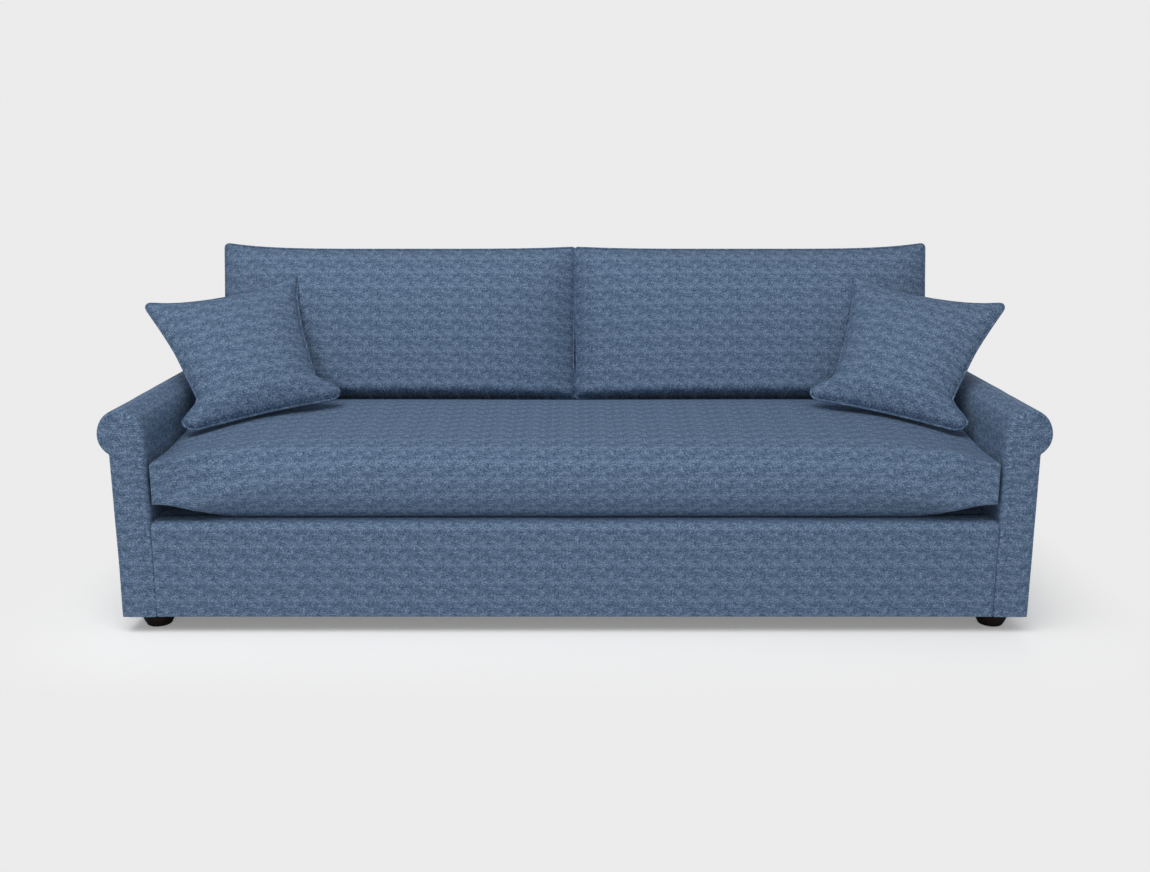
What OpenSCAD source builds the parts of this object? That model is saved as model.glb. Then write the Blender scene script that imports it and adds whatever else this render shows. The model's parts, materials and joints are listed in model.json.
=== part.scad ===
// Four-seater sofa with rolled arms: a timber frame with zigzag seat springs, padded covers,
// one long seat cushion, two back cushions, two scatter cushions and turned bun feet.
// The origin is on the floor under the middle of the sofa, and the front faces -Y.

/* [Overall size] */
// Width over the two arm rolls
sofa_w = 2400; // [2200:10:2600]
// Depth from the front border to the outside back
sofa_d = 960; // [930:5:1010]
// Height of the top of the upholstered back
back_h = 790; // [760:5:830]

/* [Arms] */
// Height of the top of the arm rolls
arm_h = 598; // [580:2:620]
// Thickness of an arm below its roll
arm_w = 88; // [84:1:96]
// Diameter of the arm roll
roll_d = 116; // [112:1:122]
// Padding between the roll's timber core and its outside
roll_pad = 18; // [14:1:20]
// Padding on the inside of an arm
inner_pad = 20; // [16:1:24]
// Padding and board on the outside of an arm
side_pad = 12; // [8:1:14]
// Radius of the soft outer edges of an arm's front
arm_edge_r = 12; // [8:1:14]

/* [Seat] */
// Height of the deck that the seat cushion lies on
deck_h = 298; // [285:1:305]
// Thickness of the deck's padding
deck_pad = 22; // [16:1:26]
// Thickness of the felt over the springs
felt_t = 4; // [3:0.5:6]
// Height of the clips that hold the springs
clip_h = 6; // [5.5:0.5:8]
// Thickness of the spring wire
wire_t = 4; // [3:0.5:4]
// Distance from one seat spring to the next
spring_pitch = 150; // [120:5:170]
// Width of a seat spring's zigzag
spring_w = 50; // [40:2:60]
// Distance from one bar of the zigzag to the next
zigzag_pitch = 38; // [30:2:44]
// Padding between the frame and the front border's face
face_pad = 20; // [14:1:24]
// Radius along the top of the front border
border_r = 20; // [14:1:21]
// Depth of the front border's lip over the front rail
lip_d = 80; // [60:2:100]

/* [Back] */
// Angle of the inside back from upright
back_lean = 16.5; // [14:0.5:18]
// Depth from the inside back to the outside back at deck level
back_base_d = 265; // [255:5:275]
// Thickness of the inside back's padding
back_foam = 30; // [24:1:36]
// Thickness of the outside back
back_pad = 6; // [4:1:10]
// Thickness of the padding over the top of the back
cap_t = 30; // [24:1:34]
// Radius of the front of the back's top edge
cap_r = 28; // [18:1:30]
// Thickness of the padded ends of the back
end_pad = 13; // [10:1:16]
// Width of a strip of back webbing
web_w = 50; // [40:2:60]
// Thickness of the back webbing
web_t = 1.6; // [1.2:0.2:2.4]
// Number of strips of back webbing
web_count = 12; // [8:1:16]

/* [Timber] */
// Thickness of the rails
rail_t = 28; // [24:1:30]
// Depth of the arm posts from front to back
post_d = 60; // [50:2:70]
// Height of the foot blocks
block_h = 40; // [34:1:46]
// Distance that a foot block reaches past its foot's centre
block_reach = 62; // [54:1:70]
// Height of the side rails and seat stretchers
low_rail_h = 100; // [80:5:140]
// Height of the back's rails
back_rail_h = 60; // [50:2:70]
// Thickness of the back's uprights
upright_t = 22; // [18:1:26]
// Thickness of the arm boards
board_t = 6; // [4:1:8]
// Distance of the flat under the roll's core from its centre
core_flat = 30; // [26:1:32]

/* [Feet] */
// Height of the hem above the floor
hem_h = 45; // [40:1:55]
// Widest diameter of a foot
foot_d = 89; // [80:1:96]
// Diameter of a foot at its base
foot_base_d = 66; // [58:1:72]
// Distance from the outer faces to a foot's centre
foot_inset = 70; // [66:1:76]
// Height at which a foot is widest
foot_wide_h = 40; // [34:1:42]
// Diameter of the bolt that holds a foot
bolt_d = 8; // [6:1:10]
// Depth of the bolt in the foot
bolt_in = 28; // [22:1:30]
// Diameter of the nut barrel in the foot block
nut_d = 11; // [11:0.5:13]
// Diameter of the nut's flange
flange_d = 22; // [20:1:26]
// Thickness of the glide under a foot
glide_t = 2.5; // [2:0.5:4]
// Diameter of the glide
glide_d = 46; // [36:1:52]
// Diameter of the glide's nail
nail_d = 2.4; // [2:0.2:3]
// Length of the glide's nail
nail_l = 12; // [8:1:13]
// Thickness of the dust cover under the frame
cloth_t = 1.5; // [1:0.5:2.5]

/* [Screws] */
// Diameter of the frame screws
screw_d = 6; // [5:0.5:7]
// Diameter of the screw heads
screw_head_d = 12; // [11:0.5:13]
// Length of the frame screws under the head
screw_l = 105; // [90:5:120]

/* [Seat cushion] */
// Height of the crown of the seat cushion
seat_h = 505; // [490:1:520]
// Height of the cushion's end panels
seat_box_h = 120; // [110:1:130]
// Height of the end panels' lower edge above the deck
seat_box_lift = 51; // [44:1:54]
// Gap between the seat cushion's ends and the arms
seat_side_gap = 12; // [6:1:20]
// Distance that the front of the cushion stands proud of the border
seat_proud = 6; // [0:1:12]
// Distance that the cushion's front corners are drawn in
seat_corner_in = 8; // [4:1:14]
// Depth over which the front of the seat cushion rounds under
seat_toe = 75; // [60:5:90]
// Length over which the top rises to its crown
crown_run = 300; // [260:10:340]
// Length over which the underside drops to the deck
drop_run = 200; // [160:10:240]

/* [Back cushions] */
// Height of a back cushion from seam to seam
back_cushion_h = 452; // [430:2:480]
// Thickness of a back cushion at its fullest
back_cushion_t = 200; // [180:2:210]
// Distance from the outer side of a back cushion to the arm's inner face
back_cushion_in = 22; // [14:1:30]
// Gap between the two back cushions at their corners
back_cushion_gap = 4; // [2:1:10]
// Distance that a back cushion's sides are drawn in
back_draw_in = 6; // [3:1:10]
// Height of a back cushion's outer top corner above its top edge
back_ear_outer = 17; // [10:1:22]
// Height of a back cushion's inner top corner above its top edge
back_ear_inner = 7; // [4:1:12]

/* [Scatter cushions] */
// Side of a scatter cushion from corner to corner
scatter_size = 434; // [424:2:444]
// Thickness of a scatter cushion at its fullest
scatter_t = 130; // [110:5:140]
// Distance that a scatter cushion's free edges are drawn in
scatter_draw_in = 40; // [28:1:46]
// Turn of a scatter cushion towards the middle of the seat
scatter_turn = 20.5; // [18:0.5:23]
// Lean of a scatter cushion from upright
scatter_lean = 43; // [41:1:45]
// Tilt of a scatter cushion in its own plane
scatter_tilt = 10.3; // [9:0.1:12]
// Distance from the arm's inner face to a scatter cushion's centre
scatter_from_arm = 146; // [140:1:160]
// Distance from the inside back's foot to a scatter cushion's centre
scatter_from_back = 246; // [236:1:256]
// Height of a scatter cushion's centre above the seat's crown, before it is let down
scatter_rise = 164; // [158:1:170]
// Thickness of the piped seam round the cushions
piping_d = 8; // [6:1:10]

/* [Hidden] */

$fn = 96;
// Gap between a soft cushion and what it rests on
soft_gap = 0.35;
// Gap between a bolt, nut or nail and its hole, on the radius
hole_gap = 0.05;
// Overlap of a cutting shape past the face that it cuts
cut = 1;
// Thickness of the metal of a spring clip and of a nut's flange
sheet_t = 1;
flange_t = 1.5;

cover_blue = [0.36, 0.45, 0.58];
cover_shade = [0.30, 0.38, 0.51];
timber = [0.76, 0.62, 0.44];
board_brown = [0.60, 0.47, 0.33];
foam_cream = [0.90, 0.86, 0.72];
felt_grey = [0.52, 0.52, 0.50];
web_black = [0.13, 0.13, 0.14];
steel = [0.62, 0.63, 0.65];
foot_brown = [0.09, 0.07, 0.06];

// Places of the faces
front_y = -sofa_d / 2;
rear_y = sofa_d / 2;
roll_r = roll_d / 2;
arm_out_x = sofa_w / 2 - (roll_d - arm_w);
arm_in_x = arm_out_x - arm_w;
roll_x = arm_in_x + roll_r;
roll_z = arm_h - roll_r;
core_r = roll_r - roll_pad;
core_low = roll_z - core_flat;
frame_front = front_y + face_pad;
frame_rear = rear_y - back_pad;
frame_out = arm_out_x - side_pad;
frame_in = arm_in_x + inner_pad;
frame_low = hem_h + cloth_t;
block_top = frame_low + block_h;
felt_top = deck_h - deck_pad;
clip_top = felt_top - felt_t;
rail_top = clip_top - clip_h;
frame_top = back_h - cap_t;
foot_x = arm_out_x - foot_inset;
foot_y = sofa_d / 2 - foot_inset;
block_in_x = foot_x - block_reach;
block_end_y = foot_y - block_reach;

// The inside back is a plane that leans; these turn a depth behind it and a run up it into y and z
back_foot_y = rear_y - back_base_d;
function lean_y(d, s) = back_foot_y + d * cos(back_lean) + s * sin(back_lean);
function lean_z(d, s) = felt_top - d * sin(back_lean) + s * cos(back_lean);
function lean_pt(d, s) = [lean_y(d, s), lean_z(d, s)];
function run_at(d, z) = (z - felt_top + d * sin(back_lean)) / cos(back_lean);
web_d = back_foam + web_t;
upright_y = lean_y(web_d, run_at(web_d, rail_top));
rail_run_top = run_at(web_d, frame_top);
low_rail_run = 20;
mid_rail_run = (rail_run_top - back_rail_h) / 2;
upright_x = arm_in_x - end_pad - upright_t / 2;
stretcher_x = arm_in_x / 3;
foot_places = [
    [-foot_x, -foot_y], [foot_x, -foot_y], [-foot_x, foot_y], [foot_x, foot_y], [0, 0]
];

// Draws its children and their mirror image on the other side of the sofa
module both_sides() {
    children();
    mirror([1, 0, 0]) children();
}

// Extrudes a (y, z) outline across the sofa from x0 to x1
module across(x0, x1) {
    translate([x0, 0, 0]) rotate([90, 0, 90]) linear_extrude(x1 - x0) children();
}

// Extrudes an (x, z) outline towards the back from y0 to y1
module rearwards(y0, y1) {
    translate([0, y1, 0]) rotate([90, 0, 0]) linear_extrude(y1 - y0) children();
}

// A block between two corners
module block(a, b) {
    translate(a) cube(b - a);
}

// A place on the leaning inside back, with z up the slope and y straight into the back
module on_lean() {
    translate([0, back_foot_y, felt_top]) rotate([-back_lean, 0, 0]) children();
}

// Seat frame
rail_screw_z = [for (rise = [40, 120]) block_top + rise];
rear_screw_z = frame_low + back_rail_h - screw_head_d;
screw_slot_t = 2;

module screw_places() {
    both_sides() {
        for (z = rail_screw_z) translate([frame_in, frame_front + rail_t / 2, z]) children();
        translate([frame_in, frame_rear - rail_t / 2, rear_screw_z]) children();
    }
}

screw_head_in = screw_head_d / 2;
screw_start = frame_out - frame_in - screw_head_in;

module frame_screw() {
    rotate([0, 90, 0]) {
        translate([0, 0, screw_start - screw_l]) cylinder(h = screw_l, d = screw_d);
        translate([0, 0, screw_start])
            cylinder(h = screw_head_in - screw_slot_t, d1 = screw_d, d2 = screw_head_d);
    }
}

module screw_holes() {
    screw_places() rotate([0, 90, 0]) {
        translate([0, 0, screw_start - screw_l - cut])
            cylinder(h = screw_l + 2 * cut, d = screw_d + 2 * hole_gap);
        translate([0, 0, screw_start]) cylinder(h = screw_head_in + cut, d = screw_head_d + 2 * hole_gap);
    }
}

module frame_screws() {
    color(steel) screw_places() frame_screw();
}

module front_rail_body() {
    block([-frame_in, frame_front, frame_low], [frame_in, frame_front + rail_t, rail_top]);
}

module front_rail() {
    color(timber) difference() {
        front_rail_body();
        screw_holes();
    }
}

module seat_back_rail() {
    color(timber) block([-frame_in, upright_y - rail_t, frame_low], [frame_in, upright_y, rail_top]);
}

module seat_end_rail_right() {
    color(timber) block(
        [frame_in - rail_t, frame_front + rail_t, block_top], [frame_in, upright_y - rail_t, rail_top]);
}

module seat_end_rail_left() {
    mirror([1, 0, 0]) seat_end_rail_right();
}

module seat_stretchers() {
    color(timber) difference() {
        for (x = [-stretcher_x, 0, stretcher_x]) block(
            [x - rail_t / 2, frame_front + rail_t, frame_low],
            [x + rail_t / 2, upright_y - rail_t, frame_low + low_rail_h]);
        foot_bolt_hole();
    }
}

// Foot blocks, posts and arm timbers
module foot_bolt_hole() {
    translate([0, 0, hem_h - bolt_in - cut])
        cylinder(h = bolt_in + block_h + cut, d = bolt_d + 2 * hole_gap);
}

module nut_hole() {
    nut_low = block_top - block_h / 2;
    translate([0, 0, nut_low]) cylinder(h = block_h / 2 - flange_t, d = nut_d + 2 * hole_gap);
    translate([0, 0, block_top - 2 * flange_t])
        cylinder(h = 2 * flange_t + cut, d = flange_d + 2 * hole_gap);
}

module back_bottom_rail_body() {
    block([-frame_in, frame_rear - rail_t, frame_low], [frame_in, frame_rear, frame_low + back_rail_h]);
}

module foot_blocks() {
    color(timber) both_sides() {
        difference() {
            block([block_in_x, frame_front, frame_low], [frame_out, -block_end_y, block_top]);
            front_rail_body();
            translate([foot_x, -foot_y, 0]) foot_bolt_hole();
            translate([foot_x, -foot_y, 0]) nut_hole();
        }
        difference() {
            block([block_in_x, block_end_y, frame_low], [frame_out, frame_rear, block_top]);
            back_bottom_rail_body();
            translate([foot_x, foot_y, 0]) foot_bolt_hole();
            translate([foot_x, foot_y, 0]) nut_hole();
        }
    }
}

module front_post_right() {
    color(timber) difference() {
        block([frame_in, frame_front, block_top], [frame_out, frame_front + post_d, core_low]);
        screw_holes();
    }
}

module front_post_left() {
    mirror([1, 0, 0]) front_post_right();
}

module rear_post_right() {
    color(timber) difference() {
        block([frame_in, frame_rear - post_d, block_top], [frame_out, frame_rear, core_low]);
        screw_holes();
    }
}

module rear_post_left() {
    mirror([1, 0, 0]) rear_post_right();
}

module arm_core_right() {
    color(timber) rearwards(frame_front, frame_rear) difference() {
        translate([roll_x, roll_z]) circle(core_r);
        translate([roll_x - roll_r, core_low - roll_r]) square([roll_d, roll_r]);
    }
}

module arm_core_left() {
    mirror([1, 0, 0]) arm_core_right();
}

module side_rail_right() {
    color(timber) block(
        [frame_out - rail_t, -block_end_y, frame_low], [frame_out, block_end_y, frame_low + low_rail_h]);
}

module side_rail_left() {
    mirror([1, 0, 0]) side_rail_right();
}

tack_rail_h = 40;

module tack_rail_right() {
    color(timber) block(
        [frame_in + board_t, frame_front + post_d, deck_h - tack_rail_h / 2],
        [frame_in + board_t + rail_t, frame_rear - post_d, deck_h + tack_rail_h / 2]);
}

module tack_rail_left() {
    mirror([1, 0, 0]) tack_rail_right();
}

module arm_board_right() {
    color(board_brown) block(
        [frame_in, frame_front + post_d, rail_top], [frame_in + board_t, frame_rear - post_d, core_low]);
}

module arm_board_left() {
    mirror([1, 0, 0]) arm_board_right();
}

// Back frame
module lean_rail(run) {
    half = arm_in_x - end_pad;
    on_lean() block([-half, web_d, run], [half, web_d + rail_t, run + back_rail_h]);
}

module upright(x, low) {
    across(x - upright_t / 2, x + upright_t / 2) polygon([
        [upright_y, low], [frame_rear, low], [frame_rear, frame_top],
        lean_pt(web_d, rail_run_top), [upright_y, rail_top]
    ]);
}

module back_uprights() {
    color(timber) difference() {
        union() {
            both_sides() upright(upright_x, block_top);
            both_sides() upright(stretcher_x, frame_low);
        }
        lean_rail(low_rail_run);
        lean_rail(mid_rail_run);
        lean_rail(rail_run_top - back_rail_h);
        back_bottom_rail_body();
    }
}

module back_top_rail() {
    color(timber) lean_rail(rail_run_top - back_rail_h);
}

module back_mid_rail() {
    color(timber) lean_rail(mid_rail_run);
}

module back_low_rail() {
    color(timber) lean_rail(low_rail_run);
}

module back_bottom_rail() {
    color(timber) difference() {
        back_bottom_rail_body();
        screw_holes();
    }
}

module back_webbing() {
    step = 2 * (upright_x - web_w) / (web_count - 1);
    web_top = run_at(back_foam, frame_top);
    color(web_black) on_lean() for (i = [0:web_count - 1]) {
        x = -upright_x + web_w + i * step;
        block([x - web_w / 2, back_foam, low_rail_run], [x + web_w / 2, web_d, web_top]);
    }
}

// Seat springs: flat zigzags of wire, each held in a clip on the front rail and one on the back rail
spring_y0 = frame_front + rail_t / 2;
spring_y1 = upright_y - rail_t / 2;
bar_count = round((spring_y1 - spring_y0) / zigzag_pitch) + 1;
bar_step = (spring_y1 - spring_y0) / (bar_count - 1);
springs_each_side = floor((frame_in - rail_t - spring_w) / spring_pitch);
clip_w = 24;
clip_d = 14;

// Corners of the zigzag's middle line, two for each bar
zigzag = [
    for (i = [0:bar_count - 1], e = [-1, 1])
        [(i % 2 == 0 ? e : -e) * (spring_w - wire_t) / 2, spring_y0 + i * bar_step]
];
function unit(v) = v / norm(v);
function left_of(a, b) = let (d = unit(b - a)) [-d.y, d.x];
function corner_offset(p, i) =
    i == 0 ? left_of(p[0], p[1])
    : i == len(p) - 1 ? left_of(p[i - 1], p[i])
    : left_of(p[i - 1], p[i]) + left_of(p[i], p[i + 1]);

module spring_outline() {
    n = len(zigzag);
    polygon([
        for (i = [0:n - 1]) zigzag[i] + corner_offset(zigzag, i) * wire_t / 2,
        for (i = [n - 1:-1:0]) zigzag[i] - corner_offset(zigzag, i) * wire_t / 2
    ]);
}

module seat_springs() {
    color(steel) for (i = [-springs_each_side:springs_each_side])
        translate([i * spring_pitch, 0, rail_top + sheet_t]) linear_extrude(wire_t) spring_outline();
}

// A clip whose open side faces the middle of the spring, at y = 0
module spring_clip() {
    difference() {
        translate([-clip_w / 2, -wire_t / 2 - 2 * sheet_t, 0]) cube([clip_w, clip_d, clip_h]);
        translate([-clip_w / 2 - cut, -wire_t / 2, sheet_t])
            cube([clip_w + 2 * cut, clip_d, max(wire_t, clip_h - 2 * sheet_t)]);
    }
}

module spring_clips() {
    color(steel) for (i = [-springs_each_side:springs_each_side]) {
        translate([i * spring_pitch, spring_y0, rail_top]) spring_clip();
        translate([i * spring_pitch, spring_y1, rail_top]) mirror([0, 1, 0]) spring_clip();
    }
}

// Padding and covers of the seat
module felt_layer() {
    color(felt_grey) block(
        [-arm_in_x, frame_front + rail_t / 4, clip_top], [arm_in_x, upright_y - rail_t, felt_top]);
}

module seat_deck() {
    color(cover_shade) across(-arm_in_x, arm_in_x) polygon([
        [front_y + lip_d, felt_top], [lean_y(0, 0), felt_top],
        lean_pt(0, run_at(0, deck_h)), [front_y + lip_d, deck_h]
    ]);
}

module front_border() {
    color(cover_blue) across(-arm_in_x, arm_in_x) union() {
        difference() {
            translate([front_y, hem_h]) square([lip_d, deck_h - hem_h]);
            translate([frame_front, hem_h - cut]) square([lip_d, felt_top - hem_h + cut]);
            translate([front_y - cut, deck_h - border_r]) square([border_r + cut, border_r + cut]);
        }
        intersection() {
            translate([front_y + border_r, deck_h - border_r]) circle(border_r);
            translate([front_y, deck_h - border_r]) square([border_r, border_r]);
        }
    }
}

// Padding and covers of the arms
module arm_front_right() {
    color(cover_blue) union() {
        // the panel below the roll, with a soft outer edge
        translate([0, 0, hem_h]) linear_extrude(roll_z - hem_h) difference() {
            translate([arm_in_x, front_y]) square([arm_w, face_pad]);
            difference() {
                translate([arm_out_x - arm_edge_r, front_y - cut]) square(arm_edge_r + cut);
                translate([arm_out_x - arm_edge_r, front_y + arm_edge_r]) circle(arm_edge_r);
            }
        }
        // the end of the roll, with a soft rim
        translate([roll_x, frame_front, roll_z]) rotate([90, 0, 0]) rotate_extrude() {
            square([roll_r - arm_edge_r, face_pad]);
            square([roll_r, face_pad - arm_edge_r]);
            intersection() {
                translate([roll_r - arm_edge_r, face_pad - arm_edge_r]) circle(arm_edge_r);
                square([roll_r, face_pad]);
            }
        }
    }
}

module arm_front_left() {
    mirror([1, 0, 0]) arm_front_right();
}

module inside_arm_right() {
    color(cover_blue) rearwards(frame_front, frame_rear) difference() {
        union() {
            translate([roll_x, roll_z]) circle(roll_r);
            translate([arm_in_x, rail_top]) square([inner_pad, roll_z - rail_top]);
        }
        translate([roll_x, roll_z]) circle(core_r);
        translate([frame_in, 0]) square([frame_out - frame_in, core_low]);
    }
}

module inside_arm_left() {
    mirror([1, 0, 0]) inside_arm_right();
}

module outside_arm_right() {
    color(cover_blue) rearwards(frame_front, frame_rear) difference() {
        translate([frame_out, hem_h]) square([side_pad, roll_z - hem_h]);
        translate([roll_x, roll_z]) circle(roll_r);
        translate([roll_x, roll_z - roll_r / 2]) square([roll_d, roll_r]);
    }
}

module outside_arm_left() {
    mirror([1, 0, 0]) outside_arm_right();
}

// Padding and covers of the back
module inside_back() {
    top_r = min(cap_r, back_foam - cut, cap_t - cut);
    front_run = run_at(top_r, back_h - top_r);
    front_c = lean_pt(top_r, front_run);
    rear_c = [rear_y - cap_t, frame_top];
    color(cover_blue) across(-arm_in_x, arm_in_x) difference() {
        polygon([
            lean_pt(0, 0), lean_pt(0, run_at(0, back_h)), [rear_y, back_h], [rear_y, frame_top],
            lean_pt(back_foam, run_at(back_foam, frame_top)),
            lean_pt(back_foam, run_at(back_foam, felt_top))
        ]);
        difference() {
            polygon([
                front_c, lean_pt(-cut, front_run), lean_pt(-cut, run_at(-cut, back_h + cut)),
                [front_c.x, back_h + cut]
            ]);
            translate(front_c) circle(top_r);
        }
        difference() {
            translate(rear_c) square(cap_t + cut);
            translate(rear_c) circle(cap_t);
        }
    }
}

module back_end_right() {
    color(cover_blue) across(arm_in_x - end_pad, arm_in_x) polygon([
        lean_pt(back_foam, run_at(back_foam, deck_h)), [frame_rear, deck_h],
        [frame_rear, frame_top], lean_pt(back_foam, run_at(back_foam, frame_top))
    ]);
}

module back_end_left() {
    mirror([1, 0, 0]) back_end_right();
}

module outside_back() {
    color(cover_blue) rearwards(frame_rear, rear_y) union() {
        both_sides() difference() {
            translate([roll_x, roll_z]) circle(roll_r);
            translate([arm_in_x - cut, roll_z - roll_r - cut]) square([arm_w + cut, roll_r + cut]);
        }
        translate([-arm_out_x, hem_h]) square([2 * arm_out_x, roll_z - hem_h]);
        translate([-arm_in_x, roll_z]) square([2 * arm_in_x, frame_top - roll_z]);
    }
}

module dust_cover() {
    color(web_black) difference() {
        block([-frame_out, frame_front, hem_h], [frame_out, frame_rear, frame_low]);
        for (p = foot_places) translate([p.x, p.y, 0]) foot_bolt_hole();
    }
}

// Feet with their bolts, nuts and glides
module foot() {
    draft = (foot_d - foot_base_d) / 2;
    rise = foot_wide_h - glide_t;
    side_r = (draft * draft + rise * rise) / (2 * draft);
    color(foot_brown) difference() {
        rotate_extrude() intersection() {
            translate([foot_d / 2 - side_r, foot_wide_h]) circle(side_r, $fn = 180);
            translate([0, glide_t]) square([foot_d, hem_h - glide_t]);
        }
        foot_bolt_hole();
        cylinder(h = glide_t + nail_l, d = nail_d + 2 * hole_gap);
    }
}

module foot_at(i) {
    translate([foot_places[i].x, foot_places[i].y, 0]) foot();
}

module foot_bolts() {
    color(steel) for (p = foot_places) translate([p.x, p.y, hem_h - bolt_in])
        cylinder(h = bolt_in + block_h - flange_t, d = bolt_d);
}

module foot_nut() {
    nut_low = block_top - block_h / 2;
    difference() {
        union() {
            translate([0, 0, nut_low]) cylinder(h = block_h / 2 - flange_t, d = nut_d);
            translate([0, 0, block_top - 2 * flange_t]) cylinder(h = flange_t, d = flange_d);
        }
        translate([0, 0, nut_low - cut]) cylinder(h = block_h, d = bolt_d + 2 * hole_gap);
    }
}

module foot_nuts() {
    color(steel) for (i = [0:3]) translate([foot_places[i].x, foot_places[i].y, 0]) foot_nut();
}

module foot_glides() {
    color(steel) for (p = foot_places) translate([p.x, p.y, 0]) {
        cylinder(h = glide_t, d = glide_d);
        cylinder(h = glide_t + nail_l, d = nail_d);
    }
}

// Seat cushion: its section is a superellipse that grows from the flat end panels to a full crown,
// and its front rounds under over the toe
seat_half = arm_in_x - seat_side_gap;
seat_front_y = front_y - seat_proud;
seat_rear_y = lean_y(0, run_at(0, deck_h)) - soft_gap;
seat_low = deck_h + soft_gap;
seat_sections = 16;
seat_ring = 28;
seat_n_front = 3.4;
seat_n_toe = 2.2;
seat_n_rear = 6;
seat_n_end = 16;

function clamp1(t) = min(1, max(0, t));
function smooth(t) = let (c = clamp1(t)) c * c * (3 - 2 * c);
function bow(t) = let (c = 1 - clamp1(t)) 1 - c * c;
function power(a, n) = a < 0 ? -pow(-a, n) : pow(a, n);

function seat_end(x) = seat_half - abs(x);
function seat_drop(x) = smooth(seat_end(x) / drop_run);
function seat_crown_z(x) =
    let (low = deck_h + seat_box_lift + seat_box_h) low + (seat_h - low) * bow(seat_end(x) / crown_run);
function seat_under_z(x) =
    let (high = deck_h + seat_box_lift) high + (seat_low - high) * seat_drop(x);
function seat_face_y(x) = seat_front_y + seat_corner_in * (1 - seat_drop(x));
function seat_mid_y(x) = (seat_face_y(x) + seat_rear_y) / 2;
function seat_n(x, n) = n + (seat_n_end - n) * pow(1 - seat_drop(x), 2);
function seat_toe_at(x) = seat_corner_in + (seat_toe - seat_corner_in) * seat_drop(x);

function seat_point(x, a) =
    let (
        under = cos(a) < 0 && sin(a) < 0,
        n = seat_n(x, under ? seat_n_toe : cos(a) < 0 ? seat_n_front : seat_n_rear),
        half_d = (seat_rear_y - seat_face_y(x)) / 2,
        reach = power(cos(a), 2 / n),
        top = seat_crown_z(x),
        low = seat_under_z(x)
    )
    [
        x,
        under ? seat_face_y(x) + seat_toe_at(x) * (1 + reach) : seat_mid_y(x) + half_d * reach,
        (top + low) / 2 + (top - low) / 2 * power(sin(a), 2 / n)
    ];

// Height of the top of the seat cushion over a point
function seat_top(x, y) =
    let (
        n = seat_n(x, y < seat_mid_y(x) ? seat_n_front : seat_n_rear),
        half_d = (seat_rear_y - seat_face_y(x)) / 2,
        r = clamp1(abs(y - seat_mid_y(x)) / half_d),
        top = seat_crown_z(x),
        low = seat_under_z(x)
    )
    (top + low) / 2 + (top - low) / 2 * pow(1 - pow(r, n), 1 / n);

// Places of the sections, close together at the ends
seat_spread = 2.2;
seat_xs = [
    for (i = [-seat_sections:seat_sections])
        let (t = 1 - abs(i) / seat_sections) (i < 0 ? -1 : 1) * seat_half * (1 - pow(t, seat_spread))
];

// A closed skin of triangles over rings of equal length, with a fan at each end
module ring_skin(rings) {
    n = len(rings[0]);
    m = len(rings);
    points = [for (r = rings) each r, for (r = [rings[0], rings[m - 1]]) (r[0] + r[n / 2]) / 2];
    polyhedron(points, [
        for (i = [0:m - 2], j = [0:n - 1]) let (k = (j + 1) % n)
            each [[i * n + j, i * n + k, (i + 1) * n + k], [i * n + j, (i + 1) * n + k, (i + 1) * n + j]],
        for (j = [0:n - 1]) [m * n, (j + 1) % n, j],
        for (j = [0:n - 1]) [m * n + 1, (m - 1) * n + j, (m - 1) * n + (j + 1) % n]
    ], convexity = 4);
}

seat_core_h = 96;
seat_core_in = 70;

module seat_core_body() {
    mid = deck_h + seat_box_lift + seat_box_h / 2;
    block(
        [-seat_half + seat_core_in, front_y + seat_core_in, mid - seat_core_h / 2],
        [seat_half - seat_core_in, seat_rear_y - seat_core_in, mid + seat_core_h / 2]);
}

module seat_cushion() {
    rings = [for (x = seat_xs) [for (j = [0:seat_ring - 1]) seat_point(x, -j * 360 / seat_ring)]];
    color(cover_blue) difference() {
        ring_skin(rings);
        seat_core_body();
    }
}

module seat_core() {
    color(foam_cream) seat_core_body();
}

// Pillows: u runs from side to side and v from bottom to top, both from -1 to 1.
// A pillow is [width, height, thickness, side draw-in, top and bottom draw-in, left ear, right ear, fullness],
// and its fullness is [sideways, below the middle, above the middle]
ear_power = 4.5;
rim_power = 0.62;
draw_slope = 0.3;
function ear(h, u) = h * pow(max(0, u), ear_power);
// The sides are drawn in more towards the bottom
function draw(v) = (1 - pow(max(0, v), 2)) * (1 - pow(max(0, -v), 4)) * (1 - draw_slope * v);
function pillow_x(p, u, v) = u * (p[0] / 2 - p[3] * draw(v));
function pillow_z(p, u, v) = v * (p[1] / 2 - p[4] * (1 - u * u)) + max(0, v) * (ear(p[5], -u) + ear(p[6], u));
function swell(a, n) = pow(1 - pow(abs(a), n), rim_power);
function pillow_half(p, u, v) =
    let (full = swell(u, p[7][0]) * swell(v, v < 0 ? p[7][1] : p[7][2]))
    piping_d / 2 + (p[2] / 2 - piping_d / 2) * full;
function pillow_point(p, u, v, side) = [pillow_x(p, u, v), side * pillow_half(p, u, v), pillow_z(p, u, v)];

// Steps from -1 to 1 that lie closer together near the ends
function steps(n) = [for (i = [0:n]) sin(-90 + 180 * i / n)];

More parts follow.
